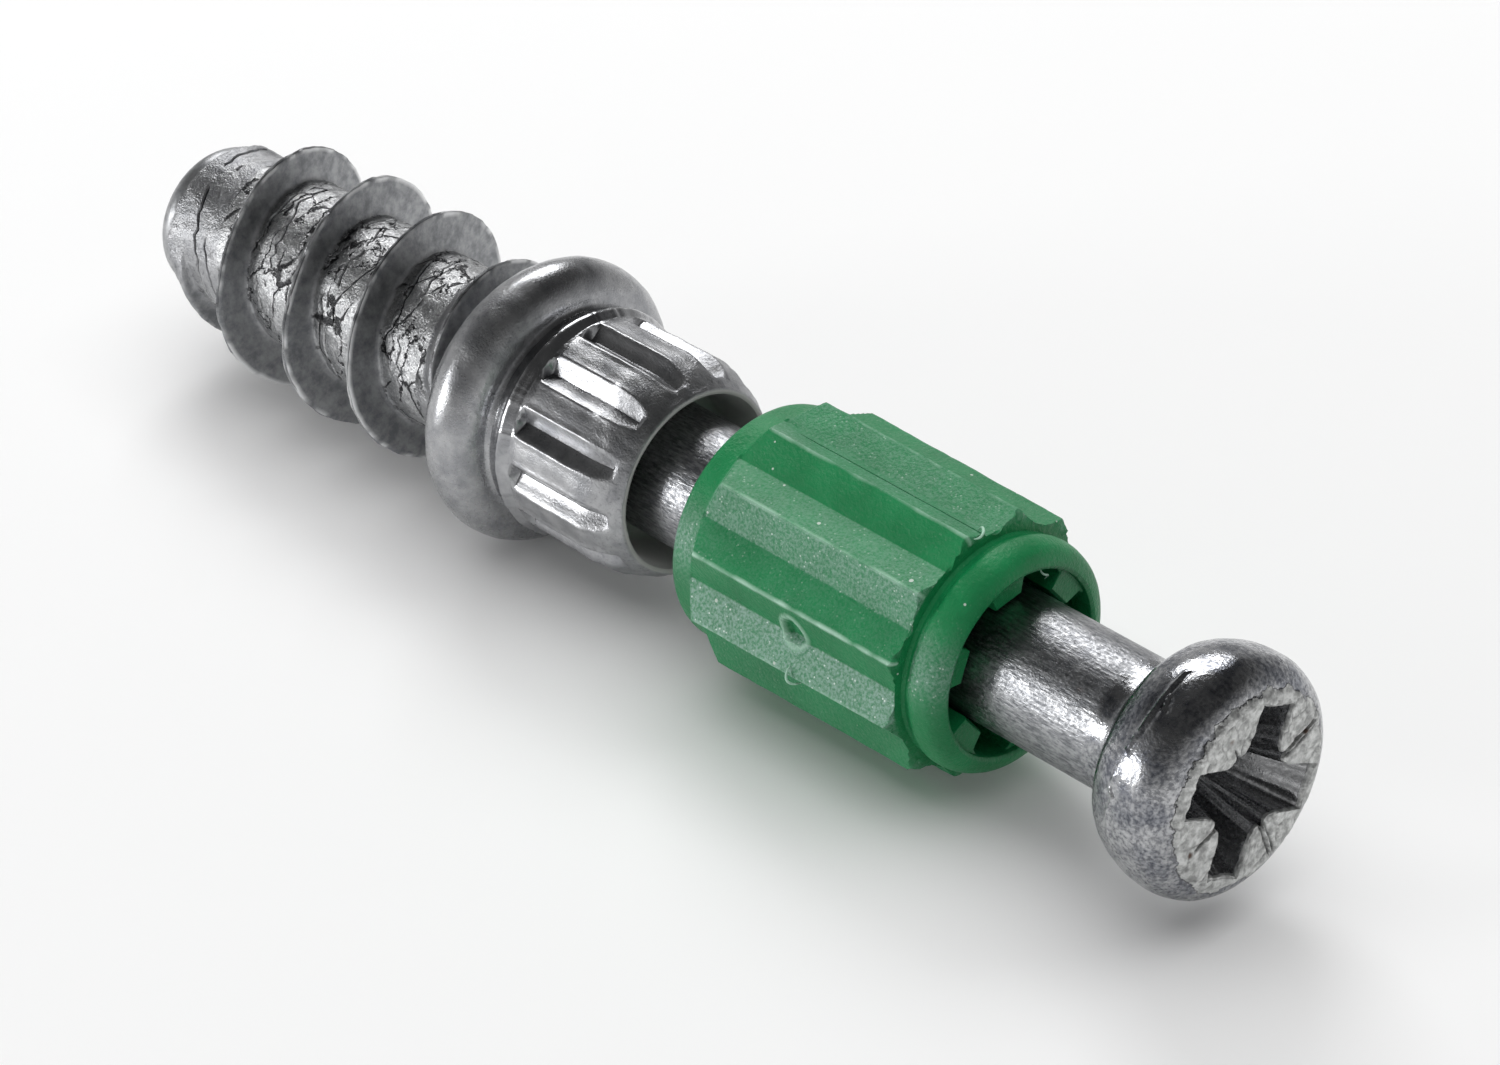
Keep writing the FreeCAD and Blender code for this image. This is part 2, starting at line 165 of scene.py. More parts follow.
def along(values, cell, seed):
    """Value noise of one running number, such as the turns along the thread."""
    return soft_noise(np.asarray(values, float)[..., None] * [1, 0, 0], cell, seed)


def crazing(u, v, cell, seed):
    """Distance from the cell borders of scattered points: the second nearest point's distance
    less the nearest one's, for one point in each square of a lattice."""
    near = np.full(np.broadcast(u, v).shape, 9.0)
    second = near.copy()
    i, j = np.floor(u / cell).astype(np.int64), np.floor(v / cell).astype(np.int64)
    level = np.zeros_like(i)
    for di, dj in np.ndindex(3, 3):
        column, row = i + di - 1, j + dj - 1
        px = column + lattice(column, row, level, seed)
        py = row + lattice(column, row, level, seed + 1)
        gap = np.hypot(u - px * cell, v - py * cell)
        second = np.minimum(second, np.maximum(gap, near))
        near = np.minimum(near, gap)
    return second - near


def ease(value, start, end):
    """0 before start, 1 after end, 3 f^2 - 2 f^3 between. With end below start it falls instead."""
    f = np.clip((np.asarray(value, float) - start) / (end - start), 0, 1)
    return f * f * (3 - 2 * f)


def on_axis(x, r, angle):
    """Points at x along the axis, r from it and angle round it: (x, r sin, r cos)."""
    x, r, turn = np.broadcast_arrays(x, r, np.radians(angle))
    return np.stack([x, r * np.sin(turn), r * np.cos(turn)], axis=-1)


def bowed(start, end, count, bow):
    """Points after start up to end: the straight way plus a parabola 4 f (1 - f), whose height
    is bow times the way's length, to its left."""
    f = np.arange(1, count + 1)[:, None] / count
    start, end = np.array(start, float), np.array(end, float)
    way = end - start
    left = np.array([-way[1], way[0]])
    return start + way * f + left * bow * 4 * f * (1 - f)


def outline(start, *legs):
    """An outline of (x, r) points from a start through legs of (end, count, bow)."""
    points = [np.array([start], float)]
    for end, count, bow in legs:
        points.append(bowed(points[-1][-1], end, count, bow))
    return np.concatenate(points)


def mirrored_steps(offsets, copies, first):
    """Angles round the axis, from first on: each of the copies has the offsets on both sides
    of its centre, and the last angle closes the turn."""
    offsets = np.array(offsets)
    sector = np.concatenate([-offsets[::-1][:-1], offsets])
    span = 360 / copies
    angles = [first + copy * span + sector[:-1] for copy in range(copies)]
    return np.append(np.concatenate(angles), first + 360 - offsets[-1])


def halved(angles):
    """The angles with the middle of each pair of neighbours put between them."""
    return np.interp(np.arange(0, len(angles) - 0.5, 0.5), np.arange(len(angles)), angles)


def spun(line, angles):
    """The x and r of an outline's points, one row for each point, repeated for every angle."""
    return [np.tile(column[:, None], (1, len(angles))) for column in line.T]


def from_centre(angle, centre, copies):
    """Signed angle from the nearest of the evenly spaced copies."""
    span = 360 / copies
    return (np.asarray(angle) - centre + span / 2) % span - span / 2


def nearest_copy(angle, centre, copies):
    """Signed angle from the nearest of the evenly spaced copies, and how many spans that copy
    lies from the first."""
    offset = from_centre(angle, centre, copies)
    return offset, np.round((angle - centre - offset) / (360 / copies))


# Meshes, materials' marks and bodies


def welded_faces(grid):
    """Points, faces and kept indices of a grid of rows and columns whose points that share a
    place become one. A four-sided face with one side gone is a triangle, with more gone it goes."""
    rows, columns = grid.shape[:2]
    flat = grid.reshape(-1, 3)
    places = np.round(flat / WELD).astype(np.int64)
    _, kept, group = np.unique(places, axis=0, return_index=True, return_inverse=True)
    index = group.reshape(rows, columns)
    quads = np.stack([index[:-1, :-1], index[:-1, 1:], index[1:, 1:], index[1:, :-1]], axis=-1)
    quads = quads.reshape(-1, 4)
    gone = quads == np.roll(quads, -1, axis=1)
    folded = (quads[:, 0] == quads[:, 2]) | (quads[:, 1] == quads[:, 3])
    whole = quads[(gone.sum(axis=1) == 0) & ~folded]
    part = (gone.sum(axis=1) == 1) & ~folded
    triangles = quads[part][~gone[part]].reshape(-1, 3)
    return flat[kept], whole, triangles, kept


def enclosed(points, whole, triangles):
    """Signed volume: a sixth of the sum of each triangle's corner triple product."""
    fans = np.concatenate([whole[:, [0, 1, 2]], whole[:, [0, 2, 3]], triangles])
    a, b, c = points[fans[:, 0]], points[fans[:, 1]], points[fans[:, 2]]
    return np.einsum("ij,ij->i", a, np.cross(b, c)).sum() / 6


def placed(name, data):
    """A new object in the scene."""
    thing = bpy.data.objects.new(name, data)
    bpy.context.scene.collection.objects.link(thing)
    return thing


def make_piece(name, grid, marks, body, material, crease):
    """A closed piece from a grid of points in millimetres, with its marks as point attributes,
    faces outwards and edges sharper than the crease angle kept sharp."""
    points, whole, triangles, kept = welded_faces(grid)
    if enclosed(points, whole, triangles) < 0:
        whole, triangles = whole[:, ::-1], triangles[:, ::-1]
    mesh = bpy.data.meshes.new(name)
    mesh.from_pydata((points * MM).tolist(), [], whole.tolist() + triangles.tolist())
    for mark, values in marks.items():
        layer = mesh.attributes.new(mark, "FLOAT", "POINT")
        spread = np.broadcast_to(values, grid.shape[:2]).reshape(-1)
        layer.data.foreach_set("value", spread[kept].astype(np.float32))
    mesh.update()
    mesh.shade_smooth()
    mesh.set_sharp_from_angle(angle=math.radians(crease))
    mesh.materials.append(material)
    piece = placed(name, mesh)
    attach(piece, body)
    return piece


# Thread, collar and cup

# One pitch of the thread's section: millimetres from the crest's middle, share of the ridge's
# height, and 1 on the smooth flanks that the rolling dies polish
THREAD_SECTION = [
    (-1.10, 0.00, 0), (-1.00, 0.00, 0), (-0.90, 0.00, 0), (-0.81, 0.01, 0), (-0.73, 0.03, 0),
    (-0.66, 0.07, 0), (-0.58, 0.14, 0), (-0.48, 0.27, 0), (-0.38, 0.43, 0), (-0.28, 0.60, 0),
    (-0.19, 0.76, 0), (-0.12, 0.90, 0), (-0.070, 0.985, 0), (-0.03, 1.00, 0), (0.005, 0.975, 1),
    (0.035, 0.99, 1), (0.055, 0.960, 1), (0.078, 0.86, 1), (0.100, 0.68, 1), (0.121, 0.48, 1),
    (0.143, 0.31, 1), (0.168, 0.17, 1), (0.198, 0.07, 0.8), (0.235, 0.02, 0.45), (0.295, 0.00, 0.15),
    (0.37, 0.00, 0), (0.46, 0.00, 0), (0.54, 0.00, 0), (0.60, 0.00, 0), (0.65, 0.00, 0),
    (0.74, 0.00, 0), (0.84, 0.00, 0), (0.94, 0.00, 0), (1.02, 0.00, 0), (1.06, 0.00, 0),
    (1.10, 0.00, 0), (1.19, 0.00, 0), (1.29, 0.00, 0), (1.39, 0.00, 0), (1.48, 0.00, 0),
    (1.57, 0.00, 0),
]
SECTION_X, SECTION_RISE, SECTION_POLISH = np.array(THREAD_SECTION).T

# Rows at the fold along the crest, rows that are worn bright beside it, whose pale colour is also
# a painted highlight, and how much of the low barrel between two ridges each row has
FOLD_X = -0.03
FOLD_ROWS = np.isin(SECTION_X, (FOLD_X, 0.005))
WORN_AND_HIGHLIGHT_ROWS = (SECTION_X > 0.03) & (SECTION_RISE > 0.95) | (SECTION_X == -0.07)
BARREL = (1 - ((SECTION_X - 0.95) / 0.75) ** 2).clip(0)
FOLD_DEPTH = 0.05
CRACK_DEPTH = 0.075
BARREL_HEIGHT = 0.05

# The grid has this many whole turns of the section, and ends with this row of the next one
TURNS = 4
LAST_FOOT = 23

# Ridge height along the helix, in turns from where the first crest crosses the grid's seam
RIDGE_TURNS = [-0.22, -0.12, 0.0, 0.12, 0.50, 0.84, 1.1, 2.5, 2.87, 3.40, 3.75, 3.90]
RIDGE_HEIGHT = [0.0, 0.30, 0.64, 0.76, 0.92, 1.10, 1.10, 1.12, 1.05, 0.84, 0.62, 0.0]

# The ridge was rolled low along one side: how much, at the turns where it faces that side
LOW_SIDE = -52.0
LOW_TURNS = [-0.28, 0.72, 1.72, 2.72, 3.72]
LOW_DEPTH = [0.10, 0.30, 0.50, 0.24, 0.15]

# Cracks in the thread's roots: place in the section, wander and noise seed
CRACKS = [(0.60, 0.13, 11), (1.06, 0.17, 23)]

# Where the grid's first column lies, and the columns' angles from a flute's middle
BOLT_SEAM = FLUTE_ANGLE - 150
BOLT_STEPS = [0, 1.2, 2.4, 3.9, 5.4, 6.4, 6.9, 7.6, 9.0, 10.9, 12.9, 15]
FIRST_CREST = CREST_AT_TOP - PITCH * BOLT_SEAM / 360 - 2 * PITCH


def ridge_height(turns):
    """Height of the ridge over the root, with a slightly ragged crest."""
    height = np.interp(turns, RIDGE_TURNS, RIDGE_HEIGHT)
    angle = from_centre(BOLT_SEAM - 360 * turns, LOW_SIDE, 1)
    width = np.where(angle < 0, 40, 50)
    height = (height - np.interp(turns, LOW_TURNS, LOW_DEPTH) * np.exp(-(angle / width) ** 2)).clip(0)
    return height * (1 + 0.012 * along(turns, 0.03, 5) + 0.012 * along(turns, 0.011, 6))


def crack_window(turns):
    """1 where the roots are cracked, fading out at both ends of the thread."""
    return ease(turns, -0.75, -0.5) * (1 - ease(turns, 2.8, 2.95))


def crack_depth(turns, seed):
    """Depth of one crack along the helix: it opens and closes."""
    opening = ease(along(turns, 0.09, seed) + 0.5 * along(turns, 0.02, seed + 1), -0.55, -0.05)
    return opening * crack_window(turns)


def section_shift(turns, section):
    """Sideways shift of the section's rows, so that a row keeps to the middle of each crack."""
    shift = 0
    for place, wander, seed in CRACKS:
        near = 1 - ease(np.abs(SECTION_X[section] - place), 0.05, 0.23)
        path = along(turns, 0.06, seed + 40) + 0.45 * along(turns, 0.014, seed + 50)
        shift = shift + near * wander * path * crack_window(turns)
    return shift


def tip_outline(run):
    """x and r of the unthreaded core for a running length that equals x on the core. Before
    that it follows the tip: a flat face out to TIP_FACE_R, then a quarter circle of the radius
    TIP_ROUND, which begins TIP_LEAD ahead of the tip in running length and takes TIP_RUN of it."""
    pole = FIRST_CREST + SECTION_X[0] - PITCH
    face_end = TIP - TIP_LEAD
    turn = np.clip((run - face_end) / TIP_RUN, 0, 1) * math.pi / 2
    x = np.where(run < TIP + TIP_ROUND, TIP + TIP_ROUND * (1 - np.cos(turn)), run)
    face_r = TIP_FACE_R * (run - pole) / (face_end - pole)
    r = np.where(run < face_end, face_r, TIP_FACE_R + TIP_ROUND * np.sin(turn))
    return x, r


def ridge_rows(turns, section):
    """How far the rows rise over the core, and their marks, for each row's place in the section.
    The ridge's crest is folded and worn, and its worn rows are painted pale as a highlight; the roots
    between are slightly barrelled and cracked."""
    height = ridge_height(turns)
    tall = ease(height, 0.3, 0.8)
    fold = ease(along(turns, 0.04, 31), -0.5, 0.1) * tall
    rise = SECTION_RISE[section] * height - FOLD_DEPTH * FOLD_ROWS[section] * fold
    crack = 0.75 * (SECTION_X[section] == FOLD_X) * fold
    for place, _, seed in CRACKS:
        crack = crack + (SECTION_X[section] == place) * crack_depth(turns, seed)
    barrel = BARREL_HEIGHT * BARREL[section] * ease(height, 0.2, 0.8) * crack_window(turns)
    worn_and_highlight = ease(along(turns, 0.012, 33) + 0.6 * along(turns, 0.05, 34), -0.7, 0.4)
    in_root = (SECTION_RISE[section] < 0.05) * (1 - SECTION_POLISH[section])
    marks = {
        "polish": SECTION_POLISH[section] * ease(height, 0.1, 0.35),
        "crack": crack,
        # crest: worn rows beside the fold, painted pale partly as a highlight
        "crest": WORN_AND_HIGHLIGHT_ROWS[section] * tall * worn_and_highlight,
        "root": in_root * ease(height, 0.15, 0.4),
    }
    return rise - CRACK_DEPTH * crack + barrel, marks


def thread_grid(angles):
    """Rows of the threaded core, each row one helix of the thread's section. Column by column a
    row moves back with the pitch, so its end meets the row one turn before. Rows of the tip and
    of the core's end stay square to the axis and are cut off by the first and last helix. The
    tip's smooth stub is thinner than the core, which has a rough skin from SKIN_START on."""
    count = len(SECTION_X)
    rows = np.arange(TURNS * count + LAST_FOOT + 1)[:, None]
    section = rows % count
    turns = rows // count - (angles - angles[0]) / 360
    run = FIRST_CREST + PITCH * turns + SECTION_X[section] + section_shift(turns, section)
    run = np.minimum(run, 0)
    tip_rows = np.minimum(run[:count, -1:], run[0])
    end_rows = np.maximum(run[-count:, :1], run[-1])
    rise, marks = ridge_rows(turns, section)

    run = np.concatenate([tip_rows, run, end_rows])
    both_ends = ((count, count), (0, 0))
    rise = np.pad(rise, both_ends)
    marks = {mark: np.pad(values, both_ends) for mark, values in marks.items()}
    marks["root"][:count] = 1

    x, r = tip_outline(run)
    border = TIP + SKIN_START + 0.16 * along(angles, 40.0, 62) + 0.07 * along(angles, 9.0, 63)
    peeled = ease(x, border - 0.05, border + 0.06)
    places = on_axis(x, r, angles)
    bumps = 0.034 * lumpy(places, 0.55, 3, 61) + 0.007 * lumpy(places, 0.11, 2, 71)
    bumps = bumps + 0.05 * (1 - ease(x, border + 0.1, border + 1.1))
    dents = 0.006 * lumpy(places, 0.8, 2, 81)
    marks["rough"] = peeled * (1 - 0.93 * marks["polish"]) * (1 - 0.5 * marks["crack"])
    marks["root"] = marks["root"] * peeled
    marks["polish"] = np.maximum(marks["polish"], 0.8 * (1 - peeled))
    r = np.where(r > AT_AXIS, r + (ROOT_R - TIP_FACE_R - TIP_ROUND) * peeled, 0)
    r = np.where(r > AT_AXIS, r + rise + marks["rough"] * bumps + dents * ease(r, 0, 1), 0)
    return on_axis(x, r, angles), marks


# Collar, groove, ring, fluted cup, its rim and its hollow down to the floor's centre
CUP_LINE = outline(
    (0.0, ROOT_R),
    ((0.10, ROOT_R + 0.12), 2, 0),
    ((0.12, 3.10), 3, 0),
    ((0.0, 3.17), 1, 0),
    ((0.03, 3.22), 1, 0),
    ((0.26, 3.44), 4, 0.08),
    ((COLLAR_WIDTH / 2 + 0.02, COLLAR_R), 13, 0.13),
    ((COLLAR_WIDTH - 0.12, 3.08), 15, 0.20),
    ((COLLAR_WIDTH + 0.04, GROOVE_R - 0.04), 4, -0.16),
    ((COLLAR_WIDTH + 0.32, GROOVE_R - 0.02), 3, 0),
    ((COLLAR_WIDTH + 0.48, RING_R), 4, -0.1),
    ((COLLAR_WIDTH + 0.62, RING_R - 0.015), 2, 0.1),
    ((FLUTE_BACK - 0.05, CUP_R + 0.01), 3, 0),
    ((FLUTE_BACK + 0.09, CUP_R), 4, 0),
    ((CUP_NOSE, CUP_R), 12, 0),
    ((CUP_RIM - 0.10, 2.62), 14, 0.085),
    ((CUP_RIM, 2.52), 3, 0.15),
    ((CUP_RIM - 0.02, 2.43), 2, 0.1),
    ((CUP_RIM - 0.25, 2.37), 3, 0.0),
    ((CUP_FLOOR + 0.15, 2.25), 6, 0),
    ((CUP_FLOOR, 2.0), 3, -0.15),
    ((CUP_FLOOR, 0.0), 5, 0),
)


def flute_walls(x, r, across, half, number):
    """Radius of a flute's walls at a distance across from its middle: a V of constant depth that
    follows the nose only in part. It starts blunt behind the ring and rises out of the nose
    before the rim."""
    depth = FLUTE_DEPTH * (1 + 0.12 * along(number, 1.0, 91))
    nose_drop = CUP_R - r.clip(0, CUP_R)
    follow = nose_drop * (1 - 0.42 * ease(x, 5.9, 6.6))
    wall = CUP_R - depth - follow + depth * ((across - 0.05) / (half - 0.05)).clip(0)
    wall = wall + 0.4 * ease(x, 6.32 + 0.22 * (across / half).clip(0, 1), 6.62)
    return wall + 0.4 * (1 - ease(x, FLUTE_BACK - 0.05, FLUTE_BACK + 0.09))


def cup_grid(angles):
    """The outline turned round the axis with its flutes cut, burrs beside them, dents, a knurled
    ring and a hammered skin."""
    line = CUP_LINE[1:]
    x, r = spun(line, angles)
    outside = (np.arange(len(line)) < np.argmax(line[:, 0]))[:, None]
    offset, number = nearest_copy(angles, FLUTE_ANGLE, FLUTES)
    half = FLUTE_HALF * (1 + 0.08 * along(number, 1.0, 92))
    across = np.abs(np.radians(offset)) * CUP_R
    walls = flute_walls(x, r, across, half, number)
    cut = np.where(outside & (x > FLUTE_BACK - 0.06), np.minimum(r, walls), r)
    fluted = np.where(outside, (r - cut) / FLUTE_DEPTH, 0).clip(0, 1)
    lands = outside & (x > FLUTE_BACK + 0.1)
    collar = outside & (x < COLLAR_WIDTH)
    ring = outside & (x > COLLAR_WIDTH + 0.3) & (x < FLUTE_BACK)
    on_nose = ease(x, CUP_NOSE, 6.0)

    burr = 0.022 * np.exp(-((across - half - 0.05) / 0.05) ** 2) * (1 - ease(x, 5.6, 6.3))
    burr = burr * (1 + 0.7 * along(x * 1.7 + 40 * number, 0.5, 93))
    places = on_axis(x, cut, angles)
    dents = np.where(collar, 0.016, 0.010) * lumpy(places, 0.7, 3, 94)
    knurl = 0.012 * along(angles + 8 * along(angles, 7.0, 96), 1.6, 95) * ring
    nose = 0.018 * lumpy(places, 0.22, 2, 97) * on_nose * outside
    hammered = 0.008 * lumpy(places, 0.36, 2, 98) * lands * (1 - fluted)
    r = cut + burr * lands + dents * ease(cut, 0, 1) + knurl + nose + hammered
    r = np.where(cut > AT_AXIS, r, 0)

    # The collar's near side, at -33, is rougher with scuffs, and the darker stains this gives there are
    # also painted shade
    scuffed_and_shaded = collar * (0.08 + 0.6 * np.exp(-(from_centre(angles, -33, 1) / 15) ** 2))
    rough = 0.22 * lands * (1 - 0.4 * fluted) + 0.3 * on_nose * outside + scuffed_and_shaded
    return on_axis(x, r, angles), {"hollow": 1.0 - outside, "rough": rough}


def threaded_end():
    """Tip, thread, collar and cup of the bolt in one closed skin. A mark that one of the two
    grids doesn't have is 0 on it."""
    angles = mirrored_steps(BOLT_STEPS, FLUTES, BOLT_SEAM)
    angles = angles + (BOLT_SEAM - angles[0])
    parts = [thread_grid(angles), cup_grid(angles)]
    marks = {}
    for mark in ("polish", "crack", "crest", "hollow", "root", "rough"):
        spread = [np.broadcast_to(marked.get(mark, 0.0), grid.shape[:2]) for grid, marked in parts]
        marks[mark] = np.concatenate(spread)
    return np.concatenate([grid for grid, _ in parts]), marks


# Neck and head


# Neck from inside the cup's floor, fillet, conical underside and rounded side of the head
NECK_LINE = outline(
    (CUP_FLOOR - 0.25, 0.0),
    ((CUP_FLOOR - 0.25, NECK_R), 2, 0),
    ((9.0, NECK_R), 14, 0),
    ((18.0, NECK_R), 24, 0),
    ((UNDERSIDE - 0.35, NECK_R), 16, 0),
    ((UNDERSIDE + 0.10, NECK_R + 0.28), 6, -0.14),
    ((23.22, 2.66), 7, 0.01),
    ((23.55, 2.93), 5, 0.09),
    ((24.55, HEAD_R), 20, 0.06),
    ((24.95, HEAD_R - 0.01), 5, 0.02),
    ((FACE - 0.13, HEAD_FACE_R + 0.16), 16, 0.13),
    ((FACE, FACE_EDGE_R), 4, 0.10),
)


# Quarter of the recess's mouth and of its floor, from the middle of a wing to the notch between
# two wings: angle from the wing's middle and distance from the axis
MOUTH = [
    (0, 2.24), (6, 2.26), (11, 2.31), (14.6, 2.36), (16.2, 2.18), (18.4, 1.95), (21.0, 1.74),
    (24.0, 1.55), (27.5, 1.41), (31.5, 1.32), (35.5, 1.28), (39.0, 1.29), (41.6, 1.34),
    (43.4, 1.42), (45, 1.50),
]
FLOOR = [
    (0, 1.14), (6, 1.15), (11, 1.16), (14.6, 1.17), (18.0, 1.08), (21.5, 0.98), (25.0, 0.88),
    (28.5, 0.79), (32.0, 0.72), (35.0, 0.68), (38.0, 0.66), (40.5, 0.65), (42.4, 0.65),
    (43.7, 0.65), (45, 0.65),
]
HEAD_STEPS = [step for step, _ in MOUTH]


def recess_radius(quarter, offset):
    """Distance from the axis at an angle from the wing's middle, straight between the corners."""
    steps, distance = np.array(quarter).T
    return np.interp(np.abs(offset), steps, distance)


def recess_rings(angles):
    """x and r of the rings from the face's edge in to the recess's ragged mouth, over its rounded
    lip, down its tapered walls and over its floor, which sinks a little towards the axis."""
    offset = from_centre(angles, RECESS_ANGLE, WINGS)
    mouth = recess_radius(MOUTH, offset)
    floor = recess_radius(FLOOR, offset)
    mouth = mouth + 0.035 * lumpy(on_axis(FACE, mouth, angles), 0.22, 3, 102)
    shares = np.linspace(0.07, 0.97, FACE_RINGS)
    rings = [(FACE, FACE_EDGE_R + (mouth - FACE_EDGE_R) * f) for f in shares]
    rings.append((FACE - 0.02, mouth - 0.01))
    rings.append((FACE - LIP_DEPTH, mouth - LIP_INSET))
    for f in (0.08, 0.2, 0.35, 0.5, 0.65, 0.8, 0.92, 1.0):
        depth = FACE - LIP_DEPTH - (RECESS_DEPTH - LIP_DEPTH) * f
        rings.append((depth, mouth - LIP_INSET + (floor - mouth + LIP_INSET) * f))
    for f in (0.8, 0.55, 0.3, 0.0):
        rings.append((FACE - RECESS_DEPTH - FLOOR_SINK * (1 - f), floor * f))
    x, r = zip(*rings)
    return np.tile(np.array(x)[:, None], (1, len(angles))), np.array(r)


def head_grid():
    """Neck and head turned round the axis, then the face and the recess. Columns are evenly
    spaced on the neck and meet the recess's corners at the face."""
    angles = halved(halved(mirrored_steps(HEAD_STEPS, WINGS, RECESS_ANGLE)))
    even = np.linspace(angles[0], angles[-1], len(angles))
    turned = even + (angles - even) * ease(NECK_LINE[:, 0], FACE - 1.2, FACE)[:, None]
    x, r = spun(NECK_LINE, angles)
    ring_x, ring_r = recess_rings(angles)
    x = np.concatenate([x, ring_x])
    r = np.concatenate([r, ring_r])
    turned = np.concatenate([turned, np.broadcast_to(angles, ring_r.shape)])
    places = on_axis(x, r, turned)

    ring = np.arange(len(x))[:, None] - len(NECK_LINE)
    turned_rows = ring < 0
    on_face = (ring >= -1) & (ring <= FACE_RINGS)
    inside = ring > FACE_RINGS + 1
    on_head = turned_rows & (x > HEAD_BACK)
    patch = (0.5 + (HEAD_FACE_R + 0.17 - r) / 0.8).clip(0, 1)
    patch = np.where(turned_rows, patch, 1.0)
    patch = np.where((x > FACE - 0.9) & ~inside, patch, 0)
    beside_face = ease(r, HEAD_FACE_R + 0.3, HEAD_FACE_R + 0.1) * (x > FACE - 0.5)
    wide_face = np.where(turned_rows, beside_face, on_face)

    ragged = lumpy(places, 0.35, 3, 101)
    tick = tick_grooves(turned, r) * on_face
    borders = crazing(places[..., 1] + 0.08 * ragged, places[..., 2] - 0.08 * ragged, 0.52, 104)
    pressed = borders.clip(0, 0.14) / 0.14
    dented = 0.018 * lumpy(places, 0.24, 3, 103) + 0.030 * (pressed - 1) - 0.02
    x = x - 0.08 * tick.clip(0, 1) - 0.03 * tick.clip(-1, 0)
    x = np.minimum(x + wide_face * dented, FACE)
    scratch = head_fold(places)
    lapped = head_fold(places + [0.11, 0, 0])
    swell = 0.020 * lumpy(places, 0.9, 2, 105) - 0.035 * scratch + 0.04 * lapped
    swell = np.where(on_head, swell, 0) * ease(r, 0.5, 1.8)
    grooves = 0.007 * along(turned, 3.0, 107) * inside
    r = np.where(r > AT_AXIS, r + swell + grooves * (r > 0.3), 0)
    marks = {
        "drawn": x < DRAWN_END,
        "patch": patch,
        # Dark folds and punched ticks: the darkening is painted shade along the folds and in the grooves
        "crack": np.clip(0.6 * scratch + 0.8 * tick.clip(0, 1), 0, 1),
        # Painted shade: the face darkens in the pressed grooves of its crumpled relief
        "crease": wide_face * (1 - ease(pressed, 0.1, 0.5)) * ease(ragged, -0.6, 0.4),
        "inside": inside,
        "rust": rust_spots(places),
    }
    return on_axis(x, r, turned), marks


def tick_grooves(angle, r):
    """Punched marks between the wings: two are a pair of grooves with a ridge between them, one
    is a single groove and one only a nick at the recess. Grooves are positive, ridges negative."""
    offset, number = nearest_copy(angle, RECESS_ANGLE + 180 / WINGS, WINGS)
    number = number % WINGS
    across = np.radians(offset) * r
    pair = (np.exp(-((across - 0.075) / 0.04) ** 2) + np.exp(-((across + 0.075) / 0.04) ** 2)
            - 0.9 * np.exp(-(across / 0.035) ** 2))
    single = np.exp(-(across / 0.045) ** 2)
    reach = np.where(number == 2, 2.1, np.where(number == 3, 1.7, 2.5))
    return np.where(number < 2, pair, single) * (1 - ease(r, reach - 0.15, reach))


def arc_path(places, points, width):
    """1 on the open chain of straight runs through the points, falling off over the width."""
    gaps = []
    points = on_axis(*np.array(points, float).T)
    for start, end in zip(points[:-1], points[1:]):
        way = end - start
        share = np.clip(((places - start) @ way) / (way @ way), 0, 1)
        gaps.append(np.linalg.norm(places - start - share[..., None] * way, axis=-1))
    return np.exp(-(np.min(gaps, axis=0) / width) ** 2)


# Folds on the side of the head, each an open chain of (x, r, angle)
HEAD_FOLDS = [
    [(24.42, 3.17, -15), (24.38, 3.16, -24), (24.42, 3.17, -36), (24.42, 3.17, -45), (24.30, 3.14, -58)],
    [(24.50, 3.18, -29), (24.64, 3.18, -36)],
    [(24.22, 3.11, -70), (24.16, 3.10, -76), (24.34, 3.15, -80), (24.20, 3.11, -87), (24.28, 3.13, -99)],
]
RUST = [(25.75, 1.95, -24), (25.80, 2.2, -112), (25.80, 2.05, 66), (21.3, NECK_R, -43)]


def head_fold(places):
    """Folds left by the heading die on the side of the head."""
    return np.max([arc_path(places, fold, 0.045) for fold in HEAD_FOLDS], axis=0)


def rust_spots(places):
    """1 at the middle of each small rust spot, falling off within a tenth of a millimetre."""
    spots = on_axis(*np.array(RUST, float).T)
    gaps = np.stack([np.linalg.norm(places - spot, axis=-1) for spot in spots])
    return np.exp(-(gaps.min(axis=0) / 0.09) ** 2)


# Sleeve

# Columns' angles from a rib's crest, the mould's parting line, and the gate's x, angle and radius
SLEEVE_STEPS = [0, 0.6, 1.4, 2.6, 4.2, 6.0, 8.0, 10.0, 12.0, 13.4, 14.4, 15]
PARTING = -4.0
GATE_X = 13.85
GATE_ANGLE = -85.5
GATE_R = 3.4
SEAM_DEPTH = 0.08


def snapped(angles, targets):
    """The angles with the nearest ones moved onto each group of targets."""
    angles = angles.copy()
    for group in targets:
        start = int(np.argmin(np.abs(angles - group[len(group) // 2]))) - len(group) // 2
        angles[start:start + len(group)] = group
    return angles


def star_radius(angle, crest, valley):
    """Straight facets between a crest and the valleys beside it, in polar form: the sine rule
    gives sin 15 / r = sin(15 - d) / crest + sin d / valley."""
    half = 180 / RIBS
    d = np.abs(from_centre(angle, RIB_ANGLE, RIBS))
    over = np.sin(np.radians(half - d)) / crest + np.sin(np.radians(d)) / valley
    return math.sin(math.radians(half)) / over


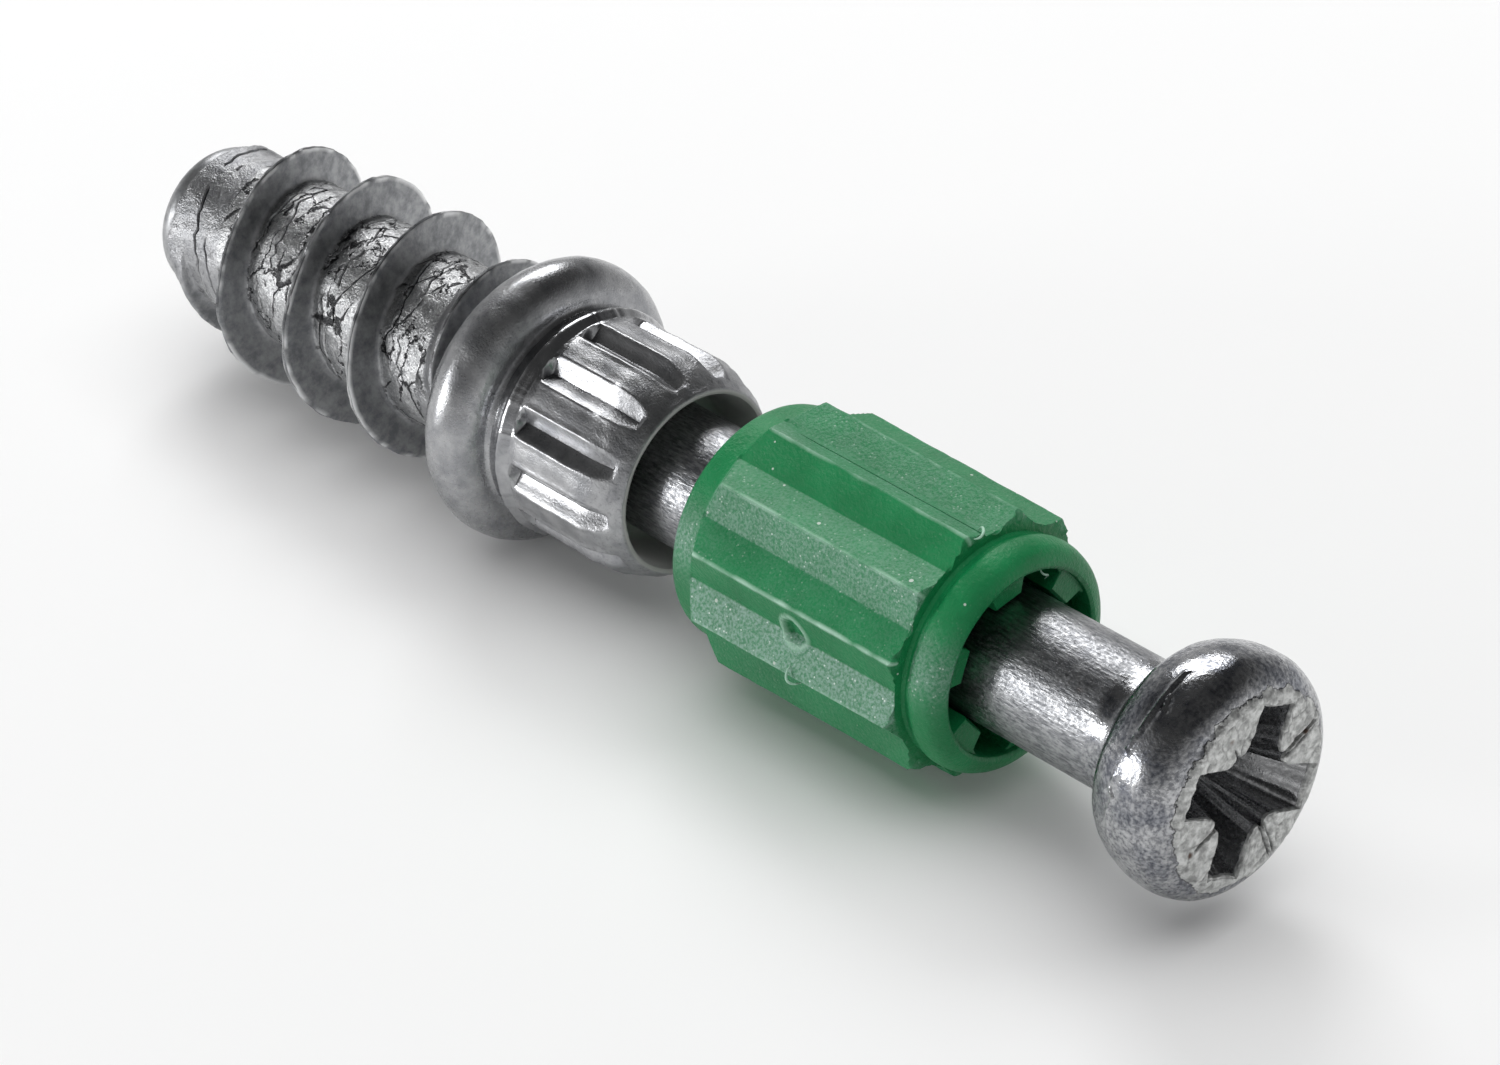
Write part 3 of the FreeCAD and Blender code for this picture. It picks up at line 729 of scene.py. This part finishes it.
# Outline from the bore's back edge over the shoulder, ribs and lip to its front edge. Where the
# ribs are it runs above them, so that their own height counts.
SLEEVE_LINE = outline(
    (BACK + 0.10, BORE_R),
    ((BACK, BORE_R + 0.12), 2, 0.1),
    ((BACK, 2.86), 3, 0),
    ((BACK + 0.34, 3.24), 7, 0.17),
    ((BACK + 0.86, 3.25), 4, 0),
    ((BACK + 0.92, 3.27), 1, 0),
    ((BACK + 1.45, OVER_RIBS), 10, 0),
    ((BACK + 4.1, OVER_RIBS), 11, 0),
    ((BACK + 5.5, OVER_RIBS), 16, 0),
    ((FRONT - 1.24, OVER_RIBS), 11, 0),
    ((FRONT - 1.20, 3.58), 2, 0),
    ((FRONT - 1.15, 3.45), 2, 0),
    ((FRONT - 1.12, 3.05), 4, 0),
    ((FRONT - 1.02, 3.01), 2, 0),
    ((FRONT - 0.90, 3.03), 2, 0),
    ((FRONT - 0.74, 3.12), 4, 0.06),
    ((FRONT - 0.40, 3.08), 5, 0.05),
    ((FRONT - 0.05, 2.78), 7, 0.13),
    ((FRONT, 2.60), 3, 0.05),
    ((FRONT - 0.05, BORE_R + 0.015), 4, 0.05),
)


def fin_radius(angle):
    """Inside radius: the bore, or a fin with nearly radial sides and a small fillet at its root."""
    d = np.abs(from_centre(angle, FIN_ANGLE, FINS))
    tip = FIN_R / np.cos(np.radians(np.minimum(d, FIN_HALF)))
    root = BORE_R - 0.10 * (1 - ease(d, 13.3, 17.5))
    return np.where(d <= FIN_HALF, tip, root)


# How pale each facet's skin is painted, as a highlight, round from the first rib's crest, two facets
# to a rib, and how worn each rib's edge is, its pale colour partly a painted highlight
FACET_HIGHLIGHT = [0.3, 0.1, 0.4, 0.15, 0.5, 0.1, 0.3, 0.6, 0.1, 0.3, 0.15, 0.4,
         0.1, 0.3, 0.15, 0.5, 1.2, 0.08, 0.22, 0.85, 0.38, 0.0, 0.42, 0.35]
EDGE_WEAR_AND_HIGHLIGHT = [0.4, 0.2, 0.5, 0.3, 0.2, 0.6, 0.3, 0.2, 0.45, 1.0, 0.6, 0.6]


def rib_wear_and_highlight(angle, x):
    """1 on a worn rib's crest, whose pale colour is partly wear and partly a painted highlight, falling
    off beside it, broken up along the rib.
    """
    offset, number = nearest_copy(angle, RIB_ANGLE, RIBS)
    number = (number % RIBS).astype(int)
    broken = 0.65 + 0.35 * along(x + 10 * number, 0.35, 211)
    return np.array(EDGE_WEAR_AND_HIGHLIGHT)[number] * np.exp(-(offset / 1.1) ** 2) * broken


def painted_facet_highlight(angle, x, ribbed):
    """Painted highlight of the facets on the ribbed part, and of the side of the shoulder and lip that
    faces the low key lamp.
    """
    facet = (np.floor((angle - RIB_ANGLE) / 15) % len(FACET_HIGHLIGHT)).astype(int)
    beyond_ribs = (x < BACK + 0.95) | (x > FRONT - 0.95)
    # Painted highlight on the side of the shoulder and lip at -74, which faces the low key lamp
    lamp_side = 0.9 * np.exp(-(from_centre(angle, -74, 1) / 15) ** 2) * beyond_ribs
    patchy = 0.8 + 0.2 * lumpy(on_axis(x, RIB_R, angle), 1.2, 2, 212)
    return np.where(ribbed, np.array(FACET_HIGHLIGHT)[facet], lamp_side) * patchy


def sleeve_skin(angles):
    """Outside of the sleeve. Ribs rise from the shoulder along a quarter ellipse, taper towards
    the front and end there square and a little ragged. The gate left a ring round a dish with a
    stub in it, and the mould's parting line is a fine groove."""
    x, shell = spun(SLEEVE_LINE, angles)
    taper = ((x - BACK - 0.85) / (FRONT - BACK - 2.0)).clip(0, 1)
    crest = RIB_R + (RIB_FRONT_R - RIB_R) * taper
    crest = crest + 0.012 * lumpy(on_axis(x, RIB_R, angles), 0.35, 2, 201)
    star = star_radius(angles, crest, VALLEY_R - 0.03 * taper)
    short_of = 1 - ((x - BACK - 0.9) / 0.5).clip(0, 1)
    run_up = SHOULDER_R + (RIB_R + 0.01 - SHOULDER_R) * np.sqrt(1 - short_of ** 2)
    ribbed = (x > BACK + 0.88) & (x < FRONT - 1.13) & (shell > 3.26)
    ribs = np.minimum(np.minimum(star, np.maximum(run_up, SHOULDER_R)), shell)
    r = np.where(ribbed & (shell > 3.3), ribs, shell)
    r = np.where((x > BACK + 0.88) & (x < BACK + 0.95), np.minimum(star, 3.27), r)

    gap = np.hypot(x - GATE_X, np.radians(angles - GATE_ANGLE) * GATE_R)
    ring = np.exp(-((gap - 0.43) / 0.09) ** 2) * ribbed
    dish = (1 - ease(gap, 0.24, 0.40)) * ribbed
    gate = 0.085 * ring - 0.13 * dish + 0.07 * np.exp(-(gap / 0.13) ** 2) * ribbed
    at_ends = ease(x, FRONT - 2.1, FRONT - 1.25) * (x < FRONT - 1.14)
    x = x + 0.07 * along(angles, 2.2, 204) * at_ends
    parted = ribbed & (x > BACK + 1.8) & (np.abs(angles - PARTING) < 0.1)
    pits = 0.006 * lumpy(on_axis(x, r, angles), 0.6, 2, 203)
    marks = {
        "seam": np.maximum(parted, 0.3 * dish),
        # Pale worn rib crests and the gate's raised ring: partly wear, partly a painted highlight line
        "edge": ribbed * rib_wear_and_highlight(angles, x) + 0.7 * ring,
        # Pale colour painted as a highlight on the facets that face the lamps
        "painted_highlight": painted_facet_highlight(angles, x, ribbed),
    }
    return on_axis(x, r + gate - SEAM_DEPTH * parted + pits, angles), marks


def sleeve_bore(angles):
    """Bore of the sleeve from front to back, with the fins' square ends."""
    front = [FRONT - depth for depth in (0.10, 0.14, 0.17, 0.20, 0.28)]
    middle = np.linspace(FRONT - 1.2, BACK + 1.2, 12)
    back = [BACK + depth for depth in (0.62, 0.53, 0.50, 0.46, 0.25)]
    x = np.concatenate([front, middle, back])[:, None]
    share = np.array([0, 0, 0, 0.90, 1] + [1] * len(middle) + [1, 0.90, 0, 0, 0])[:, None]
    return on_axis(x, BORE_R + (fin_radius(angles) - BORE_R) * share, angles)


def sleeve_grid():
    """Closed loop of rows: over the outside from back to front and back through the bore. Some
    columns move onto the fins' corners inside and onto the parting line outside."""
    angles = mirrored_steps(SLEEVE_STEPS, RIBS, RIB_ANGLE - 180)
    corners = []
    for fin in range(-2, 4):
        for side in (-1, 1):
            group = sorted(FIN_ANGLE + 60 * fin + side * d for d in (12.5, 13.3, 14.8))
            if angles[2] < group[0] and group[-1] < angles[-3]:
                corners.append(group)
    outer, marks = sleeve_skin(snapped(angles, [(PARTING - 0.45, PARTING, PARTING + 0.45)]))
    inner = sleeve_bore(snapped(angles, corners))
    unmarked = ((0, len(inner) + 1), (0, 0))
    marks = {mark: np.pad(values, unmarked) for mark, values in marks.items()}
    return np.concatenate([outer, inner, outer[:1]]), marks


# Flash left by the sleeve's mould: points of (x, r, angle) that a thread of plastic runs through
FLASH = {
    "flash_in_opening":
        [(18.20, 2.50, 17), (18.24, 2.31, 21), (18.18, 2.27, 27), (18.05, 2.10, 30)],
    "flash_at_parting_line":
        [(17.00, 3.28, -4), (17.22, 3.50, -4.5), (17.40, 3.50, -8), (17.24, 3.42, -11)],
    "flash_nib":
        [(13.88, 3.48, -100), (13.98, 3.78, -102.5), (14.10, 3.76, -105), (14.16, 3.46, -108)],
}
FLASH_R = {"flash_in_opening": 0.030, "flash_at_parting_line": 0.035, "flash_nib": 0.035}
# The flash gets half of the facets' painted highlight and most of the pale edge colour
FLASH_MARKS = {"seam": 0.0, "edge": 0.8, "painted_highlight": 0.5}


def flash_grid(points, radius):
    """Round tube, pointed at both ends, along the polynomial path of lowest degree through the
    points: each ring is a circle across the path, of the radius times sqrt(sin(pi t))."""
    knots = np.linspace(0, 1, len(points))
    t = np.linspace(0, 1, 33)
    lines = on_axis(*np.array(points).T).T
    path = [np.polyval(np.polyfit(knots, line, len(points) - 1), t) for line in lines]
    path = np.stack(path, axis=-1)
    ahead = np.gradient(path, axis=0)
    ahead = ahead / np.linalg.norm(ahead, axis=1, keepdims=True)
    side = np.cross(ahead, [0.8, 0.6, 0.0])
    side = side / np.linalg.norm(side, axis=1, keepdims=True)
    up = np.cross(ahead, side)
    turn = np.append(np.linspace(0, 2 * math.pi, 12, endpoint=False), 0)[:, None]
    size = radius * np.sqrt(np.sin(math.pi * t).clip(0))[:, None, None]
    ring = np.cos(turn) * side[:, None] + np.sin(turn) * up[:, None]
    grid = path[:, None] + size * ring
    grid[0], grid[-1] = path[0], path[-1]
    return grid


# Materials


class Nodes:
    """Short way to build a node tree: add returns the new node, and the calls below it return
    the output of theirs."""

    def __init__(self, owner):
        self.owner = owner
        owner.use_nodes = True
        self.tree = owner.node_tree
        self.tree.nodes.clear()

    def add(self, kind, inputs=None, **settings):
        """A node with its settings, and a value or another node's output for each input."""
        node = self.tree.nodes.new(kind)
        for key, value in settings.items():
            setattr(node, key, value)
        for key, value in (inputs or {}).items():
            if isinstance(value, bpy.types.NodeSocket):
                self.tree.links.new(value, node.inputs[key])
            else:
                node.inputs[key].default_value = value
        return node

    def millimetres(self, stretch=(1, 1, 1)):
        """Object coordinates in millimetres, stretched along the axes."""
        place = self.add("ShaderNodeTexCoord").outputs["Object"]
        scale = tuple(value / MM for value in stretch)
        return self.add("ShaderNodeMapping", {"Vector": place, "Scale": scale}).outputs["Vector"]

    def noise(self, vector, scale, detail=2.0, roughness=0.5):
        """Noise value, about 0.5 on average."""
        inputs = {"Vector": vector, "Scale": scale, "Detail": detail, "Roughness": roughness}
        return self.add("ShaderNodeTexNoise", inputs).outputs["Fac"]

    def cells(self, vector, scale, feature="F1"):
        """Distance from the nearest of scattered points, or from the border between two of them."""
        inputs = {"Vector": vector, "Scale": scale}
        return self.add("ShaderNodeTexVoronoi", inputs, feature=feature).outputs["Distance"]

    def ramp(self, factor, low, high, at_low=0.0, at_high=1.0):
        """The factor's stretch from low to high, mapped to at_low..at_high and clamped."""
        inputs = {"Value": factor, "From Min": low, "From Max": high}
        inputs.update({"To Min": at_low, "To Max": at_high})
        return self.add("ShaderNodeMapRange", inputs).outputs["Result"]

    def sums(self, kind, first, second):
        """One arithmetic step."""
        return self.add("ShaderNodeMath", {0: first, 1: second}, operation=kind).outputs["Value"]

    def times(self, first, second):
        """Product of two values."""
        return self.sums("MULTIPLY", first, second)

    def blend(self, factor, first, second):
        """Colour mix."""
        first, second = [(*c, 1) if isinstance(c, tuple) else c for c in (first, second)]
        inputs = {0: factor, 6: first, 7: second}
        return self.add("ShaderNodeMix", inputs, data_type="RGBA").outputs[2]

    def mark(self, name):
        """A point attribute of the piece."""
        return self.add("ShaderNodeAttribute", attribute_name=name).outputs["Fac"]

    def bump(self, height, distance, strength=1.0, normal=None):
        """Bump from a height, whose full range is the distance in metres."""
        inputs = {"Height": height, "Distance": distance, "Strength": strength}
        if normal:
            inputs["Normal"] = normal
        return self.add("ShaderNodeBump", inputs).outputs["Normal"]

    def finish(self, **inputs):
        """The shader with its inputs, and the output. An underscore stands for a space."""
        named = {key.replace("_", " "): value for key, value in inputs.items()}
        shader = self.add("ShaderNodeBsdfPrincipled", named)
        self.add("ShaderNodeOutputMaterial", {"Surface": shader.outputs["BSDF"]})
        return self.owner


def thread_steel():
    """Zinc-plated steel of the thread, collar and cup: satin roots with a net of fine cracks that
    run round, smoother mottled flanks, worn crests painted near white as a highlight, and a dull hollow."""
    n = Nodes(bpy.data.materials.new("zinc_steel_thread"))
    place = n.millimetres()
    grain = n.noise(place, 9.0, 3.0, 0.62)
    speck = n.noise(place, 17.0, 2.0, 0.6)
    broad = n.noise(place, 1.3, 4.0, 0.6)
    mottle = n.noise(place, 2.6, 4.0, 0.66)
    rough_mark, polish, root, hollow = map(n.mark, ("rough", "polish", "root", "hollow"))
    colour = n.blend(n.ramp(broad, 0.38, 0.62), (0.29, 0.295, 0.308), (0.43, 0.433, 0.443))
    light = n.blend(n.ramp(mottle, 0.40, 0.60), (0.36, 0.366, 0.373), (0.54, 0.546, 0.552))
    light = n.blend(n.ramp(speck, 0.50, 0.64, 0, 0.6), light, (0.80, 0.805, 0.81))
    colour = n.blend(n.times(root, 0.9), colour, light)
    # Dark stains where the grain is low, more where the rough mark is high; on the collar's near side
    # this darkening is partly painted shade
    stain = n.times(n.ramp(grain, 0.45, 0.33), n.ramp(rough_mark, 0, 1, 0.12, 0.6))
    colour = n.blend(stain, colour, (0.115, 0.118, 0.125))
    flank = n.blend(n.ramp(mottle, 0.36, 0.64), (0.24, 0.247, 0.258), (0.42, 0.426, 0.435))
    colour = n.blend(polish, colour, flank)
    # Painted highlight: the crest rows are painted near white, standing for the bright line the crest
    # catches, besides real wear
    colour = n.blend(n.times(n.mark("crest"), 0.9), colour, (0.88, 0.885, 0.89))
    wander = n.sums("SUBTRACT", n.noise(place, 2.4, 3.0, 0.7), 0.5)
    strayed = n.add("ShaderNodeVectorMath", {0: n.millimetres((1.9, 1, 1)), 1: wander})
    net = n.cells(strayed.outputs["Vector"], 0.85, feature="DISTANCE_TO_EDGE")
    net = n.times(net, n.ramp(n.noise(place, 3.3, 2.0), 0.38, 0.60, 0.55, 1.7))
    open_part = n.times(root, n.ramp(n.noise(place, 1.5, 2.0), 0.40, 0.47))
    line = n.times(n.ramp(net, 0.060, 0.018), open_part)
    dark = n.sums("MAXIMUM", n.times(line, 0.92), n.ramp(n.mark("crack"), 0.3, 0.75, 0.0, 0.95))
    colour = n.blend(dark, colour, (0.016, 0.016, 0.018))
    colour = n.blend(hollow, colour, (0.48, 0.475, 0.465))
    rough = n.sums("ADD", n.ramp(grain, 0.35, 0.7, 0.25, 0.16), n.times(polish, 0.24))
    rough = n.sums("ADD", rough, n.sums("MINIMUM", n.times(rough_mark, 0.65), 0.20))
    rough = n.sums("ADD", rough, n.times(hollow, 0.6))
    relief = n.bump(grain, 0.00004, n.ramp(rough_mark, 0, 1, 0.04, 0.40))
    relief = n.bump(speck, 0.000028, n.ramp(rough_mark, 0, 1, 0.14, 0.80), relief)
    relief = n.bump(n.sums("SUBTRACT", 1.0, line), 0.00005, 0.9, relief)
    metal = n.ramp(hollow, 0, 1, 1.0, 0.0)
    return n.finish(Base_Color=colour, Metallic=metal, Roughness=rough, Normal=relief)


def head_steel():
    """Zinc-plated steel of the neck and head: drawn lines, peppered plating, and a pale coined
    face that ends in a ragged border, with painted shade in its pressed creases."""
    n = Nodes(bpy.data.materials.new("zinc_steel_head"))
    place = n.millimetres()
    lines = n.noise(n.millimetres((0.22, 1, 1)), 15.0, 3.0, 0.65)
    worm = n.noise(place, 9.5, 2.0, 0.55)
    broad = n.noise(place, 1.5, 4.0, 0.6)
    drawn = n.mark("drawn")
    ragged = n.sums("SUBTRACT", n.noise(place, 1.9, 4.0, 0.6), 0.5)
    edge = n.sums("ADD", n.mark("patch"), n.times(ragged, 0.9))
    patch = n.ramp(edge, 0.49, 0.52)
    rim = n.times(n.ramp(edge, 0.47, 0.50), n.ramp(edge, 0.54, 0.51))
    colour = n.blend(n.ramp(broad, 0.40, 0.60), (0.18, 0.188, 0.21), (0.38, 0.385, 0.396))
    bright = n.times(n.ramp(worm, 0.51, 0.61), n.ramp(broad, 0.35, 0.6, 0.15, 0.42))
    colour = n.blend(bright, colour, (0.64, 0.645, 0.655))
    pepper = n.times(n.ramp(worm, 0.48, 0.40), n.ramp(broad, 0.35, 0.6, 0.65, 0.38))
    colour = n.blend(pepper, colour, (0.065, 0.070, 0.085))
    neck = n.blend(n.ramp(lines, 0.38, 0.62), (0.17, 0.176, 0.188), (0.45, 0.455, 0.468))
    colour = n.blend(n.times(drawn, n.ramp(broad, 0.35, 0.65, 0.9, 0.7)), colour, neck)
    crumple = n.noise(place, 4.0, 5.0, 0.68)
    face = n.blend(n.ramp(crumple, 0.38, 0.60), (0.34, 0.346, 0.34), (0.70, 0.71, 0.70))
    face = n.blend(n.ramp(broad, 0.50, 0.62, 0, 0.30), face, (0.40, 0.405, 0.405))
    colour = n.blend(patch, colour, face)
    colour = n.blend(n.times(rim, 0.6), colour, (0.11, 0.11, 0.115))
    # Painted shade in the coined face's pressed creases
    colour = n.blend(n.times(n.mark("crease"), 0.65), colour, (0.15, 0.15, 0.15))
    walls = n.blend(n.ramp(lines, 0.4, 0.62), (0.30, 0.303, 0.31), (0.42, 0.424, 0.43))
    colour = n.blend(n.mark("inside"), colour, walls)
    # Painted shade along the head's folds and in the punched ticks' grooves
    colour = n.blend(n.ramp(n.mark("crack"), 0.3, 0.9, 0, 0.85), colour, (0.04, 0.04, 0.042))
    colour = n.blend(n.ramp(n.mark("rust"), 0.2, 0.8, 0, 0.85), colour, (0.075, 0.028, 0.010))
    rough = n.sums("ADD", n.ramp(worm, 0.36, 0.62, 0.30, 0.13), n.times(patch, 0.26))
    rough = n.sums("ADD", rough, n.times(drawn, 0.17))
    relief = n.bump(lines, 0.00003, n.ramp(drawn, 0, 1, 0.03, 0.45))
    relief = n.bump(worm, 0.00003, 0.30, relief)
    relief = n.bump(n.times(crumple, patch), 0.00012, 0.55, relief)
    relief = n.bump(patch, 0.00004, 0.8, relief)
    return n.finish(Base_Color=colour, Metallic=1.0, Roughness=rough, Normal=relief)


def sleeve_plastic():
    """Green polyamide with a fine spark-eroded skin, pale painted highlights and painted glints on the
    facets that face the lamps, and a few pale dust specks.
    """
    n = Nodes(bpy.data.materials.new("green_plastic"))
    place = n.millimetres()
    broad = n.noise(place, 0.9, 3.0)
    skin = n.noise(place, 13.0, 3.0, 0.65)
    pits = n.cells(place, 7.5)
    painted_highlight = n.mark("painted_highlight")
    colour = n.blend(n.ramp(broad, 0.3, 0.7), (0.004, 0.165, 0.050), (0.009, 0.216, 0.070))
    # Painted highlight: pale whitish green on the facets that face the lamps
    highlighted_tone = n.times(n.ramp(skin, 0.38, 0.62, 0.2, 0.95), painted_highlight)
    colour = n.blend(highlighted_tone, colour, (0.25, 0.40, 0.33))
    streaks = n.noise(n.millimetres((0.4, 1, 1)), 5.0, 2.0)
    # Painted glints: white specks in streaks on those facets
    painted_glint = n.times(n.ramp(pits, 0.24, 0.13), n.ramp(streaks, 0.48, 0.60))
    painted_glint = n.times(painted_glint, n.ramp(painted_highlight, 0, 1, 0.04, 0.90))
    colour = n.blend(painted_glint, colour, (0.72, 0.82, 0.77))
    # Pale crest lines on the ribs and the gate's ring: partly wear, partly a painted highlight
    colour = n.blend(n.ramp(n.mark("edge"), 0.15, 0.9, 0, 0.9), colour, (0.48, 0.72, 0.58))
    colour = n.blend(n.ramp(n.mark("seam"), 0.3, 1.0, 0, 0.85), colour, (0.003, 0.07, 0.022))
    dust = n.add("ShaderNodeTexVoronoi", {"Vector": place, "Scale": 1.25})
    size = n.add("ShaderNodeSeparateColor", {"Color": dust.outputs["Color"]}).outputs["Red"]
    edge = n.ramp(size, 0.25, 1.0, 0.0, 0.07)
    speck = n.ramp(n.sums("SUBTRACT", dust.outputs["Distance"], edge), 0.012, 0.0)
    colour = n.blend(speck, colour, (0.50, 0.58, 0.52))
    relief = n.bump(skin, 0.00004, 0.65)
    relief = n.bump(pits, 0.00002, 0.5, relief)
    rough = n.ramp(skin, 0.3, 0.7, 0.5, 0.34)
    return n.finish(Base_Color=colour, Roughness=rough, Specular_IOR_Level=0.34, Normal=relief)


# Stage

VIEW_AZIMUTH = 46.35
VIEW_ELEVATION = 32.47
VIEW_TARGET = Vector((9.05, -0.20, -0.43)) * MM
VIEW_DISTANCE = 127.0 * MM
LENS = 120.0
SENSOR = 36.0
NEAREST = 0.01
FARTHEST = 20
FLOOR_REACH = 2.0

# Strength of the studio's light at the horizon, its strength overhead, and the height of the
# direction, as a share of its length, from which it is that of overhead
HORIZON_LIGHT = 0.66
TOP_LIGHT = 0.07
TOP_FROM = 0.65


def towards(azimuth, elevation):
    """Unit direction from the object: azimuth 0 is -Y and 90 is +X, elevation above the floor."""
    a, e = math.radians(azimuth), math.radians(elevation)
    return Vector((math.sin(a) * math.cos(e), -math.cos(a) * math.cos(e), math.sin(e)))


def add_camera():
    """The photograph's viewpoint: a long lens that looks down on the bolt from the head's side."""
    camera = placed("camera", bpy.data.cameras.new("camera"))
    camera.data.lens = LENS
    camera.data.sensor_width = SENSOR
    camera.data.sensor_fit = "HORIZONTAL"
    camera.data.clip_start = NEAREST
    camera.data.clip_end = FARTHEST
    back = towards(VIEW_AZIMUTH, VIEW_ELEVATION)
    camera.location = VIEW_TARGET + back * VIEW_DISTANCE
    camera.rotation_euler = (-back).to_track_quat("-Z", "Y").to_euler()
    bpy.context.scene.camera = camera


def add_softbox(name, azimuth, elevation, distance, width, height, radiance, in_reflections=True):
    """Rectangular lamp that faces the object. Its power is pi times its area times its radiance."""
    lamp = placed(name, bpy.data.lights.new(name, "AREA"))
    lamp.data.shape = "RECTANGLE"
    lamp.data.size = width
    lamp.data.size_y = height
    lamp.data.energy = math.pi * width * height * radiance
    out = towards(azimuth, elevation)
    lamp.location = VIEW_TARGET + out * distance
    lamp.rotation_euler = out.to_track_quat("Z", "Y").to_euler()
    lamp.visible_glossy = in_reflections


def add_floor():
    """Plain pale floor under the collar."""
    lowest = cad_box[0][2]
    mesh = bpy.data.meshes.new("floor")
    sides = ((-1, -1), (1, -1), (1, 1), (-1, 1))
    corners = [(x * FLOOR_REACH, y * FLOOR_REACH, lowest) for x, y in sides]
    mesh.from_pydata(corners, [], [(0, 1, 2, 3)])
    floor = placed("floor", mesh)
    n = Nodes(bpy.data.materials.new("pale_floor"))
    pale = (0.90, 0.90, 0.90, 1)
    mesh.materials.append(n.finish(Base_Color=pale, Roughness=0.9, Specular_IOR_Level=0.1))


def add_world():
    """Dim studio: paler at the horizon, dark overhead."""
    world = bpy.data.worlds.new("studio")
    bpy.context.scene.world = world
    n = Nodes(world)
    place = n.add("ShaderNodeTexCoord").outputs["Generated"]
    height = n.add("ShaderNodeSeparateXYZ", {0: place}).outputs["Z"]
    light = n.ramp(height, 0.0, TOP_FROM, HORIZON_LIGHT, TOP_LIGHT)
    sky = n.add("ShaderNodeBackground", {"Color": (1, 1, 1, 1), "Strength": light})
    n.add("ShaderNodeOutputWorld", {"Surface": sky.outputs["Background"]})


bpy.context.scene.view_settings.view_transform = "Standard"
add_camera()
add_world()
add_floor()
add_softbox("overhead_fill", 0, 89, 0.60, 0.9, 0.9, 1.60, in_reflections=False)
add_softbox("front_left_key", -37.8, 6.3, 0.30, 0.085, 0.060, 16.0)
add_softbox("back_left_window", -127.0, 40.0, 0.30, 0.14, 0.10, 7.0)

grid, marks = threaded_end()
steel = thread_steel()
threaded = make_piece("threaded_end", grid, marks, "bolt", steel, crease=38)
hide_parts("connecting_bolt")
grid, marks = head_grid()
steel = head_steel()
head = make_piece("neck_and_head", grid, marks, "bolt", steel, crease=32)
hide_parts("connecting_bolt")
grid, marks = sleeve_grid()
plastic = sleeve_plastic()
sleeve = make_piece("ribbed_sleeve", grid, marks, "sleeve", plastic, crease=22)
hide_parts("centring_sleeve")
for name, points in FLASH.items():
    grid = flash_grid(points, FLASH_R[name])
    make_piece(name, grid, FLASH_MARKS, "sleeve", plastic, crease=60)
